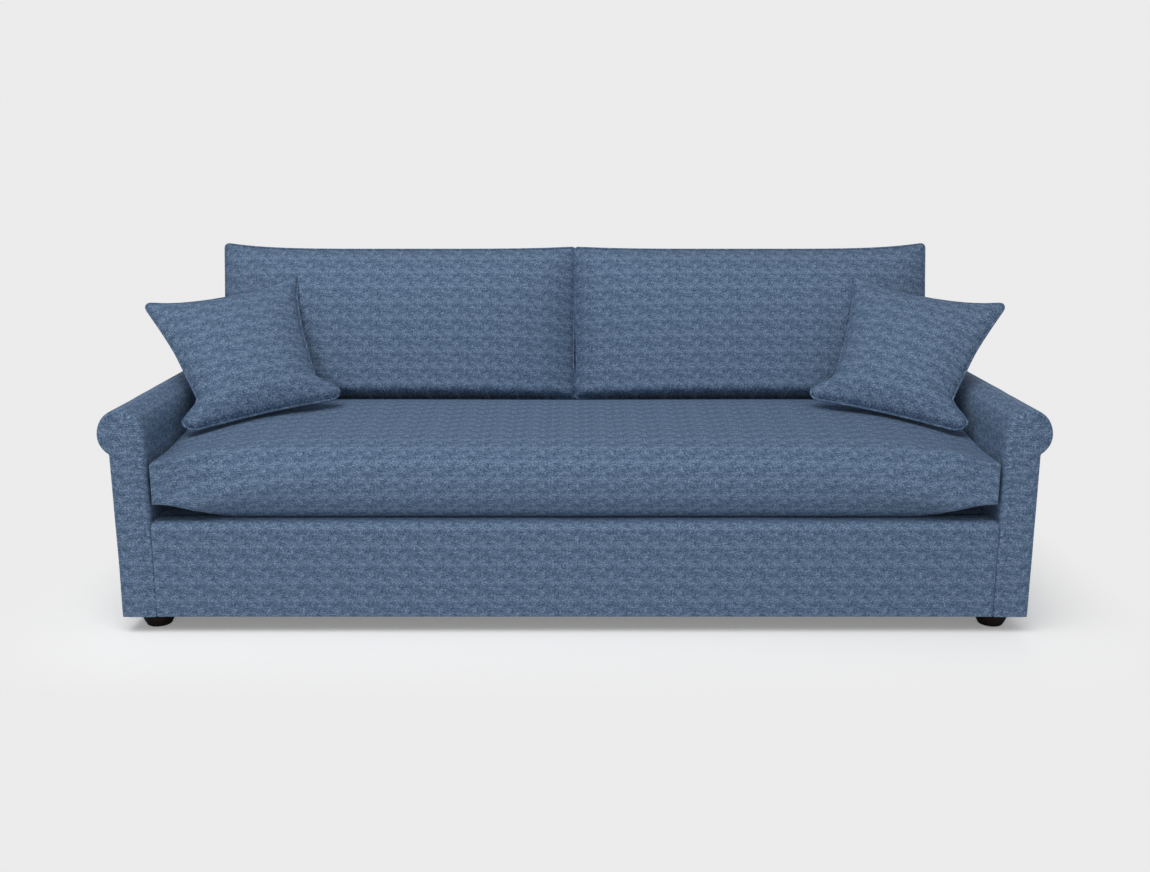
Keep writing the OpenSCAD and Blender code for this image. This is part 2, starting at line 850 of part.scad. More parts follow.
module pillow(p, nu, nv) {
    us = steps(nu);
    vs = steps(nv);
    w = nu + 1;
    back = w * (nv + 1);
    points = [for (side = [-1, 1], v = vs, u = us) pillow_point(p, u, v, side)];
    rim = concat(
        [for (i = [0:nu - 1]) i],
        [for (j = [0:nv - 1]) j * w + nu],
        [for (i = [nu:-1:1]) nv * w + i],
        [for (j = [nv:-1:1]) j * w]
    );
    n = len(rim);
    polyhedron(points, [
        for (j = [0:nv - 1], i = [0:nu - 1]) let (a = j * w + i) each [
            [a, a + w, a + w + 1], [a, a + w + 1, a + 1],
            [back + a, back + a + w + 1, back + a + w], [back + a, back + a + 1, back + a + w + 1]
        ],
        for (k = [0:n - 1]) let (a = rim[k], b = rim[(k + 1) % n])
            each [[a, b, back + b], [a, back + b, back + a]]
    ], convexity = 4);
}

// Turns v about an axis through the origin, by the right-hand rule
function turn_x(v, a) = [v.x, v.y * cos(a) - v.z * sin(a), v.y * sin(a) + v.z * cos(a)];
function turn_y(v, a) = [v.x * cos(a) + v.z * sin(a), v.y, v.z * cos(a) - v.x * sin(a)];
function turn_z(v, a) = [v.x * cos(a) - v.y * sin(a), v.x * sin(a) + v.y * cos(a), v.z];

// The left back cushion, in its own leaning frame
back_cushion_w = arm_in_x - back_cushion_in - back_cushion_gap / 2;
back_cushion_x = -(back_cushion_w + back_cushion_gap) / 2;
back_pillow = [
    back_cushion_w, back_cushion_h, back_cushion_t, back_draw_in, 0,
    back_ear_outer, back_ear_inner, [4, 6, 2.6]
];
back_cushion_d = -back_cushion_t / 2 - soft_gap;
function back_place(q, s) =
    let (l = turn_x([q.x, q.y + back_cushion_d, q.z + s], -back_lean))
    [l.x + back_cushion_x, l.y + back_foot_y, l.z + felt_top];

// The lowest part of a cushion is let down until it lies one soft gap above the seat cushion
back_feelers = [
    for (side = [-1, 1], v = [-1, -0.995, -0.98, -0.95, -0.9, -0.8], u = steps(24))
        pillow_point(back_pillow, u, v, side)
];
function back_clear(s) = min([
    for (q = back_feelers) let (w = back_place(q, s)) w.z - seat_top(w.x, w.y)
]) - soft_gap;
function settle_back(s, n) = n == 0 ? s : settle_back(s - back_clear(s), n - 1);
back_cushion_s = settle_back(run_at(0, seat_h) + back_cushion_h / 2, 12);

module back_cushion_at() {
    translate([back_cushion_x, back_foot_y, felt_top]) rotate([-back_lean, 0, 0])
        translate([0, back_cushion_d, back_cushion_s]) children();
}

// The foam core stays this far inside the seams and the faces
back_core_in = [150, 64, 86];
back_core = [back_cushion_w, back_cushion_t, back_cushion_h] - 2 * back_core_in;

module back_core_body() {
    back_cushion_at() cube(back_core, center = true);
}

module back_cushion_left() {
    color(cover_blue) difference() {
        back_cushion_at() pillow(back_pillow, 26, 18);
        back_core_body();
    }
}

module back_cushion_right() {
    mirror([1, 0, 0]) back_cushion_left();
}

module back_core_left() {
    color(foam_cream) back_core_body();
}

module back_core_right() {
    mirror([1, 0, 0]) back_core_left();
}

// The left scatter cushion leans in the corner, on the seat, the arm and the back cushion
scatter_edge_in = 24;
scatter_full = [2.3, 2.6, 2.3];
scatter_pillow = [
    scatter_size, scatter_size, scatter_t, scatter_draw_in, scatter_edge_in, 0, 0, scatter_full
];
// The same cushion with straight edges, which its edges never pass
scatter_straight = [scatter_size, scatter_size, scatter_t, 0, 0, 0, 0, scatter_full];
scatter_start = [-arm_in_x + scatter_from_arm, back_foot_y - scatter_from_back, seat_h + scatter_rise];
// It is lifted out upwards and forwards
scatter_way = [0, -0.5, 0.866];
function scatter_place(q, t) =
    turn_z(turn_x(turn_y(q, -scatter_tilt), -scatter_lean), scatter_turn) + scatter_start + scatter_way * t;

// Distances of a point from the seat, the arm and the back cushion, less than 0 inside them
function from_seat(w) = w.z - seat_top(w.x, w.y);
function from_arm(w) =
    w.z < roll_z ? w.x + arm_in_x : norm([w.x + roll_x, w.z - roll_z]) - roll_r;
function from_back(w) =
    let (
        l = turn_x(w - [back_cushion_x, back_foot_y, felt_top], back_lean),
        u = l.x / (back_cushion_w / 2),
        v = (l.z - back_cushion_s) / (back_cushion_h / 2)
    )
    abs(u) > 1 || abs(v) > 1 ? scatter_size
    : back_cushion_d - l.y - pillow_half(back_pillow, u, v);

scatter_feelers = [
    for (side = [-1, 1], v = steps(16), u = steps(16)) pillow_point(scatter_pillow, u, v, side)
];
scatter_edge = [
    for (side = [-1, 1], v = steps(30), u = [-1, -0.9, 0]) pillow_point(scatter_straight, u, v, side)
];
function scatter_clear(t) = min([
    for (q = scatter_feelers) let (w = scatter_place(q, t)) min(from_seat(w), from_back(w)),
    for (q = scatter_edge) from_arm(scatter_place(q, t))
]) - soft_gap;
function settle_scatter(t, n) = n == 0 ? t : settle_scatter(t - scatter_clear(t), n - 1);
scatter_lift = settle_scatter(0, 14);

module scatter_at() {
    translate(scatter_start + scatter_way * scatter_lift)
        rotate([0, 0, scatter_turn]) rotate([-scatter_lean, 0, 0]) rotate([0, -scatter_tilt, 0]) children();
}

scatter_core_in = [108, 43, 108];
scatter_core = [scatter_size, scatter_t, scatter_size] - 2 * scatter_core_in;

module scatter_core_body() {
    scatter_at() cube(scatter_core, center = true);
}

module scatter_left() {
    color(cover_blue) difference() {
        scatter_at() pillow(scatter_pillow, 18, 18);
        scatter_core_body();
    }
}

module scatter_right() {
    mirror([1, 0, 0]) scatter_left();
}

module scatter_core_left() {
    color(foam_cream) scatter_core_body();
}

module scatter_core_right() {
    mirror([1, 0, 0]) scatter_core_left();
}

front_rail();
seat_back_rail();
seat_end_rail_left();
seat_end_rail_right();
seat_stretchers();
foot_blocks();
front_post_left();
front_post_right();
rear_post_left();
rear_post_right();
arm_core_left();
arm_core_right();
side_rail_left();
side_rail_right();
tack_rail_left();
tack_rail_right();
arm_board_left();
arm_board_right();
back_uprights();
back_top_rail();
back_mid_rail();
back_low_rail();
back_bottom_rail();
seat_springs();
spring_clips();
back_webbing();
felt_layer();
seat_deck();
front_border();
arm_front_left();
arm_front_right();
inside_arm_left();
inside_arm_right();
outside_arm_left();
outside_arm_right();
inside_back();
outside_back();
back_end_left();
back_end_right();
dust_cover();
foot_at(0);  // foot_front_left
foot_at(1);  // foot_front_right
foot_at(2);  // foot_rear_left
foot_at(3);  // foot_rear_right
foot_at(4);  // foot_middle
foot_bolts();
foot_nuts();
foot_glides();
frame_screws();
seat_cushion();
back_cushion_left();
back_cushion_right();
scatter_left();
scatter_right();
seat_core();
back_core_left();
back_core_right();
scatter_core_left();
scatter_core_right();
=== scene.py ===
"""The looks of the four-seater sofa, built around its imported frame. Metres, +Z up, front towards -Y."""

import json
import math

import bmesh
import bpy
import numpy as np
from mathutils import Matrix, Vector, noise
from mathutils.bvhtree import BVHTree

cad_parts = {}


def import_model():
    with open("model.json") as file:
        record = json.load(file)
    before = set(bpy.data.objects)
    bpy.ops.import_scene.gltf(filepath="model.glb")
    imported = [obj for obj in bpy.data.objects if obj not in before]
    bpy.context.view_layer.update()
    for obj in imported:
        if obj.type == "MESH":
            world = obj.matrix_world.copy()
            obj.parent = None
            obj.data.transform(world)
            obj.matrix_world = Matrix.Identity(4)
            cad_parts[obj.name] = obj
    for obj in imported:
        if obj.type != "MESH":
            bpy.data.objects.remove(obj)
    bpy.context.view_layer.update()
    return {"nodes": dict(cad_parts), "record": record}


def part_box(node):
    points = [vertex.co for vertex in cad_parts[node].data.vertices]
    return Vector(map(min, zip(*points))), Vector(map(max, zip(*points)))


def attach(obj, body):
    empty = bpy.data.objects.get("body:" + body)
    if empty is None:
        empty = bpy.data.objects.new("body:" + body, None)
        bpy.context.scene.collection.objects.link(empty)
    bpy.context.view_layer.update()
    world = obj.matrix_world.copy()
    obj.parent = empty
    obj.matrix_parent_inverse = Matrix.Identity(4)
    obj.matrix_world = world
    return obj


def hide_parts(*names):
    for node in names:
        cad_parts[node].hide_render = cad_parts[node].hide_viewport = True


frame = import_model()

# Camera, solved from the sofa's straight edges in the photograph
CAM_BACK = 3.040            # distance from the sofa's front plane
CAM_HEIGHT = 1.217
CAM_PITCH = 12.8            # degrees below level
FOCAL_PX = 1243.0           # focal length in pixels of the photograph
PHOTO_W = 1150.0
SENSOR_MM = 36.0

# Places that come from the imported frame
arm_lo, arm_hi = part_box("arm_front_right")
side_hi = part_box("outside_arm_right")[1]
border_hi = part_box("front_border")[1]
deck_lo, deck_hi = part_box("seat_deck")
back_lo, back_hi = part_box("inside_back")
rear_lo, rear_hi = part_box("outside_back")
seat_lo, seat_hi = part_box("seat_cushion")
cloth_lo, cloth_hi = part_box("dust_cover")
FRONT = arm_lo.y
REAR = rear_hi.y
HEM = arm_lo.z
ARM_IN = arm_lo.x
DECK = deck_hi.z
BACK_END = rear_lo.y        # where the outside back's panel starts
BACK_LEAN = math.radians(16.5)

# Sizes of the covers
ARM_OUT = side_hi.x + 0.0015
ROLL_OUT = arm_hi.x + 0.0015
ROLL_X = (ARM_IN + ROLL_OUT) / 2
ROLL_RX = (ROLL_OUT - ARM_IN) / 2
ROLL_RZ = 0.0613            # half height of the arm roll
ROLL_Z = arm_hi.z - 0.068   # height of the roll's middle
RIM_INNER = 0.016           # softness of the edges of an arm's front: beside the cushion,
RIM_ROLL = 0.012            # over the roll
RIM_OUTER = 0.005           # and down the outside
RIM_SEAM = 0.004            # softness of an edge that is sewn to its neighbour
NOTCH_R = 0.006             # softness of the fold under the roll
ARM_CROWN = 0.002           # how far the padding swells on an arm's front
HEM_R = 0.002
BORDER_R = 0.020            # softness of the border's top edge
STEP = 0.010                # size of a mesh face on the covers


EDGES = ((0, slice(None)), (-1, slice(None)), (slice(None), 0), (slice(None), -1))     # of a grid


def smooth(t):
    """0 to 1 with a soft start and end."""
    t = np.clip(t, 0.0, 1.0)
    return t * t * (3.0 - 2.0 * t)


def bow(t):
    """0 to 1 with a quick start and a soft end."""
    c = 1.0 - np.clip(t, 0.0, 1.0)
    return 1.0 - c * c


# Meshes: skins of quads over grids of points, with texture coordinates in metres
class Skin:
    def __init__(self, name):
        self.name = name
        self.points = []
        self.faces = []
        self.uvs = []

    def grid(self, points, uv):
        """Adds a grid of points, shaped (rows, columns, 3), with uv shaped (rows, columns, 2)."""
        points = np.asarray(points, float)
        uv = np.asarray(uv, float)
        rows, cols = points.shape[:2]
        start = len(self.points)
        self.points.extend(points.reshape(-1, 3))
        flat = uv.reshape(-1, 2)
        for i in range(rows - 1):
            for j in range(cols - 1):
                a = i * cols + j
                quad = (a, a + 1, a + cols + 1, a + cols)
                self.faces.append([start + k for k in quad])
                self.uvs.append([flat[k] for k in quad])

    def mirror(self):
        self.points = [p * (-1, 1, 1) for p in np.asarray(self.points)]

    def build(self, material, weld=2e-5):
        mesh = bpy.data.meshes.new(self.name)
        mesh.from_pydata([tuple(p) for p in self.points], [], self.faces)
        layer = mesh.uv_layers.new(name="cloth")
        layer.data.foreach_set("uv", np.array([c for f in self.uvs for c in f], float).ravel())
        work = bmesh.new()
        work.from_mesh(mesh)
        bmesh.ops.remove_doubles(work, verts=work.verts, dist=weld)
        bmesh.ops.dissolve_degenerate(work, edges=work.edges, dist=weld)
        bmesh.ops.recalc_face_normals(work, faces=work.faces)
        work.to_mesh(mesh)
        work.free()
        for face in mesh.polygons:
            face.use_smooth = True
        piece = bpy.data.objects.new(self.name, mesh)
        bpy.context.scene.collection.objects.link(piece)
        mesh.materials.append(material)
        return piece


def coords(piece):
    co = np.empty(len(piece.data.vertices) * 3)
    piece.data.vertices.foreach_get("co", co)
    return co.reshape(-1, 3)


def set_coords(piece, co):
    piece.data.vertices.foreach_set("co", np.asarray(co, float).ravel())
    piece.data.update()


def lengths(points):
    """Running length along a line of points."""
    steps = np.linalg.norm(np.diff(np.asarray(points, float), axis=0), axis=1)
    return np.concatenate([[0.0], np.cumsum(steps)])


def spaced(points, count):
    """That many points at equal steps along a line."""
    points = np.asarray(points, float)
    run = lengths(points)
    marks = np.linspace(0, run[-1], count)
    return np.column_stack([np.interp(marks, run, points[:, k]) for k in range(points.shape[1])])


def stepped(points, step):
    """Points along a line at steps of about the given size."""
    return spaced(points, max(2, int(round(lengths(points)[-1] / step)) + 1))


def arc(centre, rx, rz, start, end, count):
    """Points on an ellipse's arc, from start to end in degrees."""
    a = np.radians(np.linspace(start, end, count))
    return np.column_stack([centre[0] + rx * np.cos(a), centre[1] + rz * np.sin(a)])


def fillet(before, corner, after, radius, count=6):
    """Points of a round corner."""
    corner = np.asarray(corner, float)
    u = np.asarray(before, float) - corner
    v = np.asarray(after, float) - corner
    u /= np.linalg.norm(u)
    v /= np.linalg.norm(v)
    half = math.acos(np.clip(u @ v, -1, 1)) / 2
    reach = radius / math.tan(half)
    a = corner + u * reach
    b = corner + v * reach
    t = np.linspace(0, 1, count)[:, None]
    return (1 - t) ** 2 * a + 2 * t * (1 - t) * corner + t ** 2 * b


def soften(piece, amount, size, seed, still=HEM):
    """Small uneven swells, as padding has under its cover, and none at the height of its seam."""
    co = coords(piece)
    normals = np.empty(len(co) * 3)
    piece.data.vertices.foreach_get("normal", normals)
    shift = Vector((seed * 3.1, seed * 1.7, seed * 2.3))
    swell = np.array([noise.fractal(Vector(p) / size + shift, 1.0, 2.0, 2) for p in co])
    swell *= smooth(np.abs(co[:, 2] - still) / 0.02)
    set_coords(piece, co + normals.reshape(-1, 3) * (swell * amount)[:, None])


def even_shading(piece):
    """Lets the large faces of a cover decide how its edges are shaded."""
    piece.modifiers.new("shading", "WEIGHTED_NORMAL")


def subdivide(piece):
    smoother = piece.modifiers.new("subdivide", "SUBSURF")
    smoother.levels = 1
    smoother.render_levels = 1


def crease(piece, angle=55.0, amount=0.8):
    """Keeps the sewn edges of a cushion crisp when it is subdivided."""
    work = bmesh.new()
    work.from_mesh(piece.data)
    layer = work.edges.layers.float.new("crease_edge")
    for edge in work.edges:
        if len(edge.link_faces) == 2 and edge.calc_face_angle() > math.radians(angle):
            edge[layer] = amount
    work.to_mesh(piece.data)
    work.free()


# Materials
def node_tree(name):
    material = bpy.data.materials.new(name)
    material.use_nodes = True
    tree = material.node_tree
    shader = tree.nodes["Principled BSDF"]
    return material, tree, shader


def put(tree, kind, inputs=None, **settings):
    """Adds a node, with its settings, and values or links for its inputs."""
    node = tree.nodes.new(kind)
    for key, value in settings.items():
        setattr(node, key, value)
    for key, value in (inputs or {}).items():
        if isinstance(value, bpy.types.NodeSocket):
            tree.links.new(value, node.inputs[key])
        else:
            node.inputs[key].default_value = value
    return node


def sum_of(tree, a, b):
    return put(tree, "ShaderNodeMath", {0: a, 1: b}, operation="ADD").outputs[0]


def times(tree, a, b):
    return put(tree, "ShaderNodeMath", {0: a, 1: b}, operation="MULTIPLY").outputs[0]


def stretched(tree, source, scale):
    return put(tree, "ShaderNodeMapping", {"Vector": source, "Scale": scale}).outputs[0]


def noise_of(tree, source, detail=2.0, rough=0.5, scale=1.0):
    inputs = {"Vector": source, "Scale": scale, "Detail": detail, "Roughness": rough}
    return put(tree, "ShaderNodeTexNoise", inputs).outputs[0]


def ramp(tree, value, stops):
    made = put(tree, "ShaderNodeValToRGB", {"Fac": value})
    ends = made.color_ramp.elements
    while len(ends) < len(stops):
        ends.new(0.5)
    for end, (place, colour) in zip(ends, stops):
        end.position = place
        end.color = colour
    return made.outputs[0]


def srgb(*rgb):
    """A linear colour from 0 to 255 values."""
    return tuple((c / 255 / 12.92) if c <= 10 else ((c / 255 + 0.055) / 1.055) ** 2.4 for c in rgb) + (1.0,)


REPEAT = (0.0885, 0.0485)   # the weave's repeat, across and up
PATCH_TURN = (0.50, 0.50)   # how fine the pale patches are, across and up, and the dark dashes
DASH_TURN = (0.34, 0.80)
PATCH_SHARE = 0.95          # what each part of the pattern adds
DASH_SHARE = 0.16
FLECK_SHARE = 1.10
GRAIN_SHARE = 1.20
FLECK_FINE = (220.0, 310.0, 1.0)    # flecks and grain in a metre, across and up
GRAIN_FINE = (520.0, 560.0, 1.0)
CHENILLE = [(0.16, (52, 72, 97)), (0.36, (72, 93, 119)), (0.50, (88, 109, 135)), (0.64, (106, 127, 154)),
            (0.84, (136, 156, 181))]


def repeated(tree, uv, radii, shift, detail, rough):
    """Mottling that comes again with each repeat of the weave: noise read round two circles."""
    split = put(tree, "ShaderNodeSeparateXYZ", {0: uv}).outputs
    parts = []
    for source, length, radius in zip(split, REPEAT, radii):
        turn = times(tree, source, 2 * math.pi / length)
        for kind in ("COSINE", "SINE"):
            wave = put(tree, "ShaderNodeMath", {0: turn}, operation=kind).outputs[0]
            parts.append(sum_of(tree, times(tree, wave, radius), shift))
    place = put(tree, "ShaderNodeCombineXYZ", {0: parts[0], 1: parts[1], 2: parts[2]}).outputs[0]
    made = put(
        tree, "ShaderNodeTexNoise", noise_dimensions="4D",
        inputs={"Vector": place, "W": parts[3], "Scale": 1.6, "Detail": detail, "Roughness": rough})
    return made.outputs[0]


def chenille(name):
    """Brushed chenille: fine pale flecks and short dark dashes, which come again with the weave."""
    material, tree, shader = node_tree(name)
    uv = put(tree, "ShaderNodeUVMap", uv_map="cloth").outputs[0]
    patch = repeated(tree, uv, PATCH_TURN, 0.0, 3.0, 0.62)
    dash = repeated(tree, uv, DASH_TURN, 5.2, 1.0, 0.5)
    dash = put(tree, "ShaderNodeMapRange", {"Value": dash, 1: 0.50, 2: 0.72, 3: 0.0, 4: 1.0}).outputs[0]
    fleck = noise_of(tree, stretched(tree, uv, FLECK_FINE), 1.0, 0.6)
    grain = noise_of(tree, stretched(tree, uv, GRAIN_FINE), 1.0, 0.6)
    parts = ((patch, PATCH_SHARE), (dash, -DASH_SHARE), (fleck, FLECK_SHARE), (grain, GRAIN_SHARE))
    level = 0.5 + 0.2 * DASH_SHARE - (PATCH_SHARE + FLECK_SHARE + GRAIN_SHARE) / 2
    for source, share in parts:
        level = sum_of(tree, times(tree, source, share), level)
    colour = ramp(tree, level, [(at, srgb(*rgb)) for at, rgb in CHENILLE])
    tree.links.new(colour, shader.inputs["Base Color"])
    nap = sum_of(tree, times(tree, fleck, 0.6), times(tree, grain, 0.5))
    bump = put(tree, "ShaderNodeBump", {"Strength": 0.5, "Distance": 0.0012, "Height": nap})
    tree.links.new(bump.outputs[0], shader.inputs["Normal"])
    shader.inputs["Roughness"].default_value = 0.95
    shader.inputs["Specular IOR Level"].default_value = 0.10
    shader.inputs["Sheen Weight"].default_value = 0.15
    shader.inputs["Sheen Roughness"].default_value = 0.5
    shader.inputs["Sheen Tint"].default_value = srgb(150, 172, 200)
    return material


def object_space(tree):
    return put(tree, "ShaderNodeTexCoord").outputs["Object"]


def two_tone(name, dark, light, scale, rough, bump=0.2, specular=0.3, metallic=0.0):
    """A mottled or grained finish: two colours mixed by stretched noise, with bump and uneven gloss."""
    material, tree, shader = node_tree(name)
    grain = noise_of(tree, stretched(tree, object_space(tree), scale), 4.0, 0.6)
    colour = ramp(tree, grain, [(0.3, srgb(*dark)), (0.7, srgb(*light))])
    tree.links.new(colour, shader.inputs["Base Color"])
    gloss = put(tree, "ShaderNodeMapRange", {"Value": grain, 3: rough - 0.08, 4: rough + 0.08}).outputs[0]
    tree.links.new(gloss, shader.inputs["Roughness"])
    made = put(tree, "ShaderNodeBump", {"Strength": bump, "Distance": 0.001, "Height": grain})
    tree.links.new(made.outputs[0], shader.inputs["Normal"])
    shader.inputs["Specular IOR Level"].default_value = specular
    shader.inputs["Metallic"].default_value = metallic
    return material


def woven(name, dark, light, pitch):
    """A plain weave of strips, for webbing, dust cloth and felt."""
    material, tree, shader = node_tree(name)
    place = object_space(tree)
    threads = put(tree, "ShaderNodeTexChecker", {"Vector": place, "Scale": 1.0 / pitch}).outputs[1]
    fuzz = noise_of(tree, place, 3.0, 0.7, 0.7 / pitch)
    level = sum_of(tree, times(tree, threads, 0.35), times(tree, fuzz, 0.65))
    colour = ramp(tree, level, [(0.25, srgb(*dark)), (0.75, srgb(*light))])
    tree.links.new(colour, shader.inputs["Base Color"])
    made = put(tree, "ShaderNodeBump", {"Strength": 0.5, "Distance": 0.0008, "Height": level})
    tree.links.new(made.outputs[0], shader.inputs["Normal"])
    shader.inputs["Roughness"].default_value = 0.9
    shader.inputs["Specular IOR Level"].default_value = 0.1
    return material


COVER = chenille("cover")
TIMBER = two_tone("timber", (168, 132, 88), (214, 180, 132), (9.0, 60.0, 60.0), 0.62)
BOARD = two_tone("board", (122, 92, 62), (150, 117, 82), (90.0,) * 3, 0.7)
FOOT_WOOD = two_tone("foot_wood", (12, 7, 5), (27, 17, 12), (60.0, 60.0, 12.0), 0.5, bump=0.08, specular=0.15)
STEEL = two_tone("steel", (140, 142, 146), (182, 184, 188), (40.0, 400.0, 40.0), 0.36, 0.05, 0.5, 1.0)
FOAM = two_tone("foam", (214, 200, 158), (238, 228, 196), (420.0,) * 3, 0.92, bump=0.6, specular=0.05)
FELT = woven("felt", (104, 104, 100), (150, 150, 146), 0.002)
WEBBING = woven("webbing", (20, 20, 22), (46, 46, 50), 0.0022)
DUST_CLOTH = woven("dust_cloth", (14, 14, 15), (30, 30, 32), 0.0012)


def dress_frame():
    """Gives each CAD node that stays in sight the finish of its material slot."""
    finishes = {
        "cover_fabric": COVER, "timber": TIMBER, "board": BOARD, "foot_wood": FOOT_WOOD, "webbing": WEBBING,
        "felt": FELT, "foam": FOAM, "steel": STEEL,
    }
    for row in frame["record"]["subparts"]:
        mesh = frame["nodes"][row["node"]].data
        mesh.materials.clear()
        mesh.materials.append(finishes[row["material_slot"]])


def cover(piece, fill, *nodes, body="frame"):
    """Hides the CAD nodes that a padded piece of the cover stands for, and attaches the piece to the body it
    rides on.
    """
    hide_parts(*nodes)
    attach(piece, body)


# The arms
def arm_outline():
    """The right arm's (x, z) outline from the inner hem up, over the roll and down to the outer hem."""
    across = (ARM_OUT - ROLL_X) / ROLL_RX
    notch = (ARM_OUT, ROLL_Z - ROLL_RZ * math.sqrt(1 - across * across))
    end = -math.degrees(math.acos(across))
    roll = arc((ROLL_X, ROLL_Z), ROLL_RX, ROLL_RZ, 180, end + 4, 64)
    fold = fillet(roll[-1], notch, (ARM_OUT, HEM), NOTCH_R)
    inner = stepped([(ARM_IN, HEM), (ARM_IN, ROLL_Z - 0.002)], STEP)
    outer = stepped([fold[-1] - (0, 0.004), (ARM_OUT, HEM)], STEP)
    return np.vstack([inner, roll, fold, outer])


def outward(line):
    """Unit normals on the left of an open (x, z) line's travel."""
    along = np.gradient(line, axis=0)
    along /= np.linalg.norm(along, axis=1)[:, None]
    return np.column_stack([-along[:, 1], along[:, 0]])


def arm_rim(line):
    """How soft the front edge is at each point of the arm's outline."""
    x, z = line[:, 0], line[:, 1]
    inner = np.where(z < DECK - BORDER_R, RIM_SEAM, RIM_INNER)
    outer = np.where(z > ROLL_Z, RIM_ROLL, RIM_OUTER)
    rim = np.where(x < ROLL_X, np.where(z > ROLL_Z, RIM_ROLL, inner), outer)
    return np.convolve(np.pad(rim, 5, mode="edge"), np.ones(11) / 11, mode="valid")


def arm_cover(side):
    tail = "right" if side > 0 else "left"
    line = arm_outline()
    normal = outward(line)
    run = lengths(line)
    rim = arm_rim(line)
    skin = Skin("arm_cover_" + tail)
    rows = []
    places = []
    for a in np.radians(np.linspace(90, 0, 8)):
        spot = line - normal * (rim * (1 - math.cos(a)))[:, None]
        depth = FRONT + rim * (1 - math.sin(a))
        rows.append(np.column_stack([spot[:, 0], depth, spot[:, 1]]))
        places.append(np.column_stack([depth, run]))
    for t in np.linspace(0, 1, int((BACK_END - FRONT) / STEP))[1:]:
        depth = FRONT + rim + t * (BACK_END - FRONT - rim)
        rows.append(np.column_stack([line[:, 0], depth, line[:, 1]]))
        places.append(np.column_stack([depth, run]))
    skin.grid(rows, places)
    fill_face(skin, rows[0], ARM_CROWN)
    fill_face(skin, rows[-1])
    hem = [[row[0] + (row[-1] - row[0]) * t for t in np.linspace(0, 1, 8)] for row in rows]
    skin.grid(hem, np.asarray(hem)[:, :, :2])
    if side < 0:
        skin.mirror()
    piece = skin.build(COVER)
    soften(piece, amount=0.0010, size=0.16, seed=2 + side)
    even_shading(piece)
    cover(piece, 0.9, "arm_front_" + tail, "inside_arm_" + tail, "outside_arm_" + tail)


def fill_face(skin, ring, bulge=0.0):
    """Fills a flat end between the two halves of its outline, with a slight crown."""
    half = (len(ring) + 1) // 2
    across = np.linspace(0, 1, 12)
    rows = []
    for a, b in zip(ring[:half], ring[::-1][:half]):
        row = a + (b - a) * across[:, None]
        row[:, 1] -= bulge * smooth(4 * across * (1 - across))
        rows.append(row)
    rows = np.asarray(rows)
    skin.grid(rows, rows[:, :, [0, 2]])


# The front border, with its lip over the rail, and the seat deck
def across_skin(skin, outline, half_width, rim, step=STEP, rear_share=1.0):
    """A closed (y, z) outline carried across the sofa, its two ends drawn in by a soft rim.

    rear_share is how much of the rim there is on the rear face.
    """
    outline = np.asarray(outline, float)
    n = len(outline)
    after = np.roll(outline, -1, axis=0)
    along = after - np.roll(outline, 1, axis=0)
    along /= np.maximum(np.linalg.norm(along, axis=1), 1e-9)[:, None]
    area = np.sum(outline[:, 0] * after[:, 1] - after[:, 0] * outline[:, 1])
    normal = np.column_stack([along[:, 1], -along[:, 0]]) * np.sign(area)
    run = lengths(np.vstack([outline, outline[:1]]))
    share = 1 - (1 - rear_share) * smooth((outline[:, 0] - outline[:, 0].max()) / 0.03 + 1)[:, None]
    turn = np.radians(np.linspace(90, 0, 6))
    left = [(-half_width + rim * (1 - math.sin(a)), rim * (1 - math.cos(a))) for a in turn]
    inner = np.linspace(rim - half_width, half_width - rim, int(2 * half_width / step))[1:-1]
    marks = left + [(x, 0.0) for x in inner] + [(-x, inset) for x, inset in left[::-1]]
    rows = []
    places = []
    for x, inset in marks:
        spot = outline - normal * inset * share
        spot = np.vstack([spot, spot[:1]])
        rows.append(np.column_stack([np.full(n + 1, x), spot]))
        places.append(np.column_stack([np.full(n + 1, x), run]))
    skin.grid(rows, places)
    for end in (rows[0], rows[-1]):
        middle = end[:-1].mean(axis=0)
        fan = np.asarray([middle + (end - middle) * t for t in (1.0, 0.02, 0.0)])
        skin.grid(fan, fan[:, :, 1:])


def front_border():
    rail_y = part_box("front_rail")[0].y
    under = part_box("felt_layer")[1].z
    lip = border_hi.y
    top = arc((FRONT + BORDER_R, DECK - BORDER_R), BORDER_R, BORDER_R, 180, 90, 9)
    outline = np.vstack([
        fillet((rail_y, HEM), (FRONT, HEM), (FRONT, DECK), HEM_R, 4),
        stepped([(FRONT, HEM + HEM_R + 0.003), (FRONT, DECK - BORDER_R)], STEP), top[1:],
        stepped([(FRONT + BORDER_R + 0.004, DECK), (lip, DECK)], STEP),
        stepped([(lip, under), (rail_y, under)], STEP),
        stepped([(rail_y, under - 0.01), (rail_y, HEM)], 0.03),
    ])
    skin = Skin("border_cover")
    across_skin(skin, outline, ARM_IN, RIM_SEAM)
    piece = skin.build(COVER)
    soften(piece, amount=0.0012, size=0.22, seed=7)
    even_shading(piece)
    cover(piece, 0.8, "front_border")


def box_outline(low, high, r, step):
    """A closed (y, z) rectangle with round corners, from its low to its high corner."""
    (y0, z0), (y1, z1) = low, high
    corners = [(y0, z0), (y0, z1), (y1, z1), (y1, z0)]
    rounds = [fillet(corners[k - 1], corners[k], corners[(k + 1) % 4], r, 5) for k in range(4)]
    points = []
    for a, b in zip(rounds, rounds[1:] + rounds[:1]):
        points += [a, stepped([a[-1], b[0]], step)[1:-1]]
    return np.vstack(points)


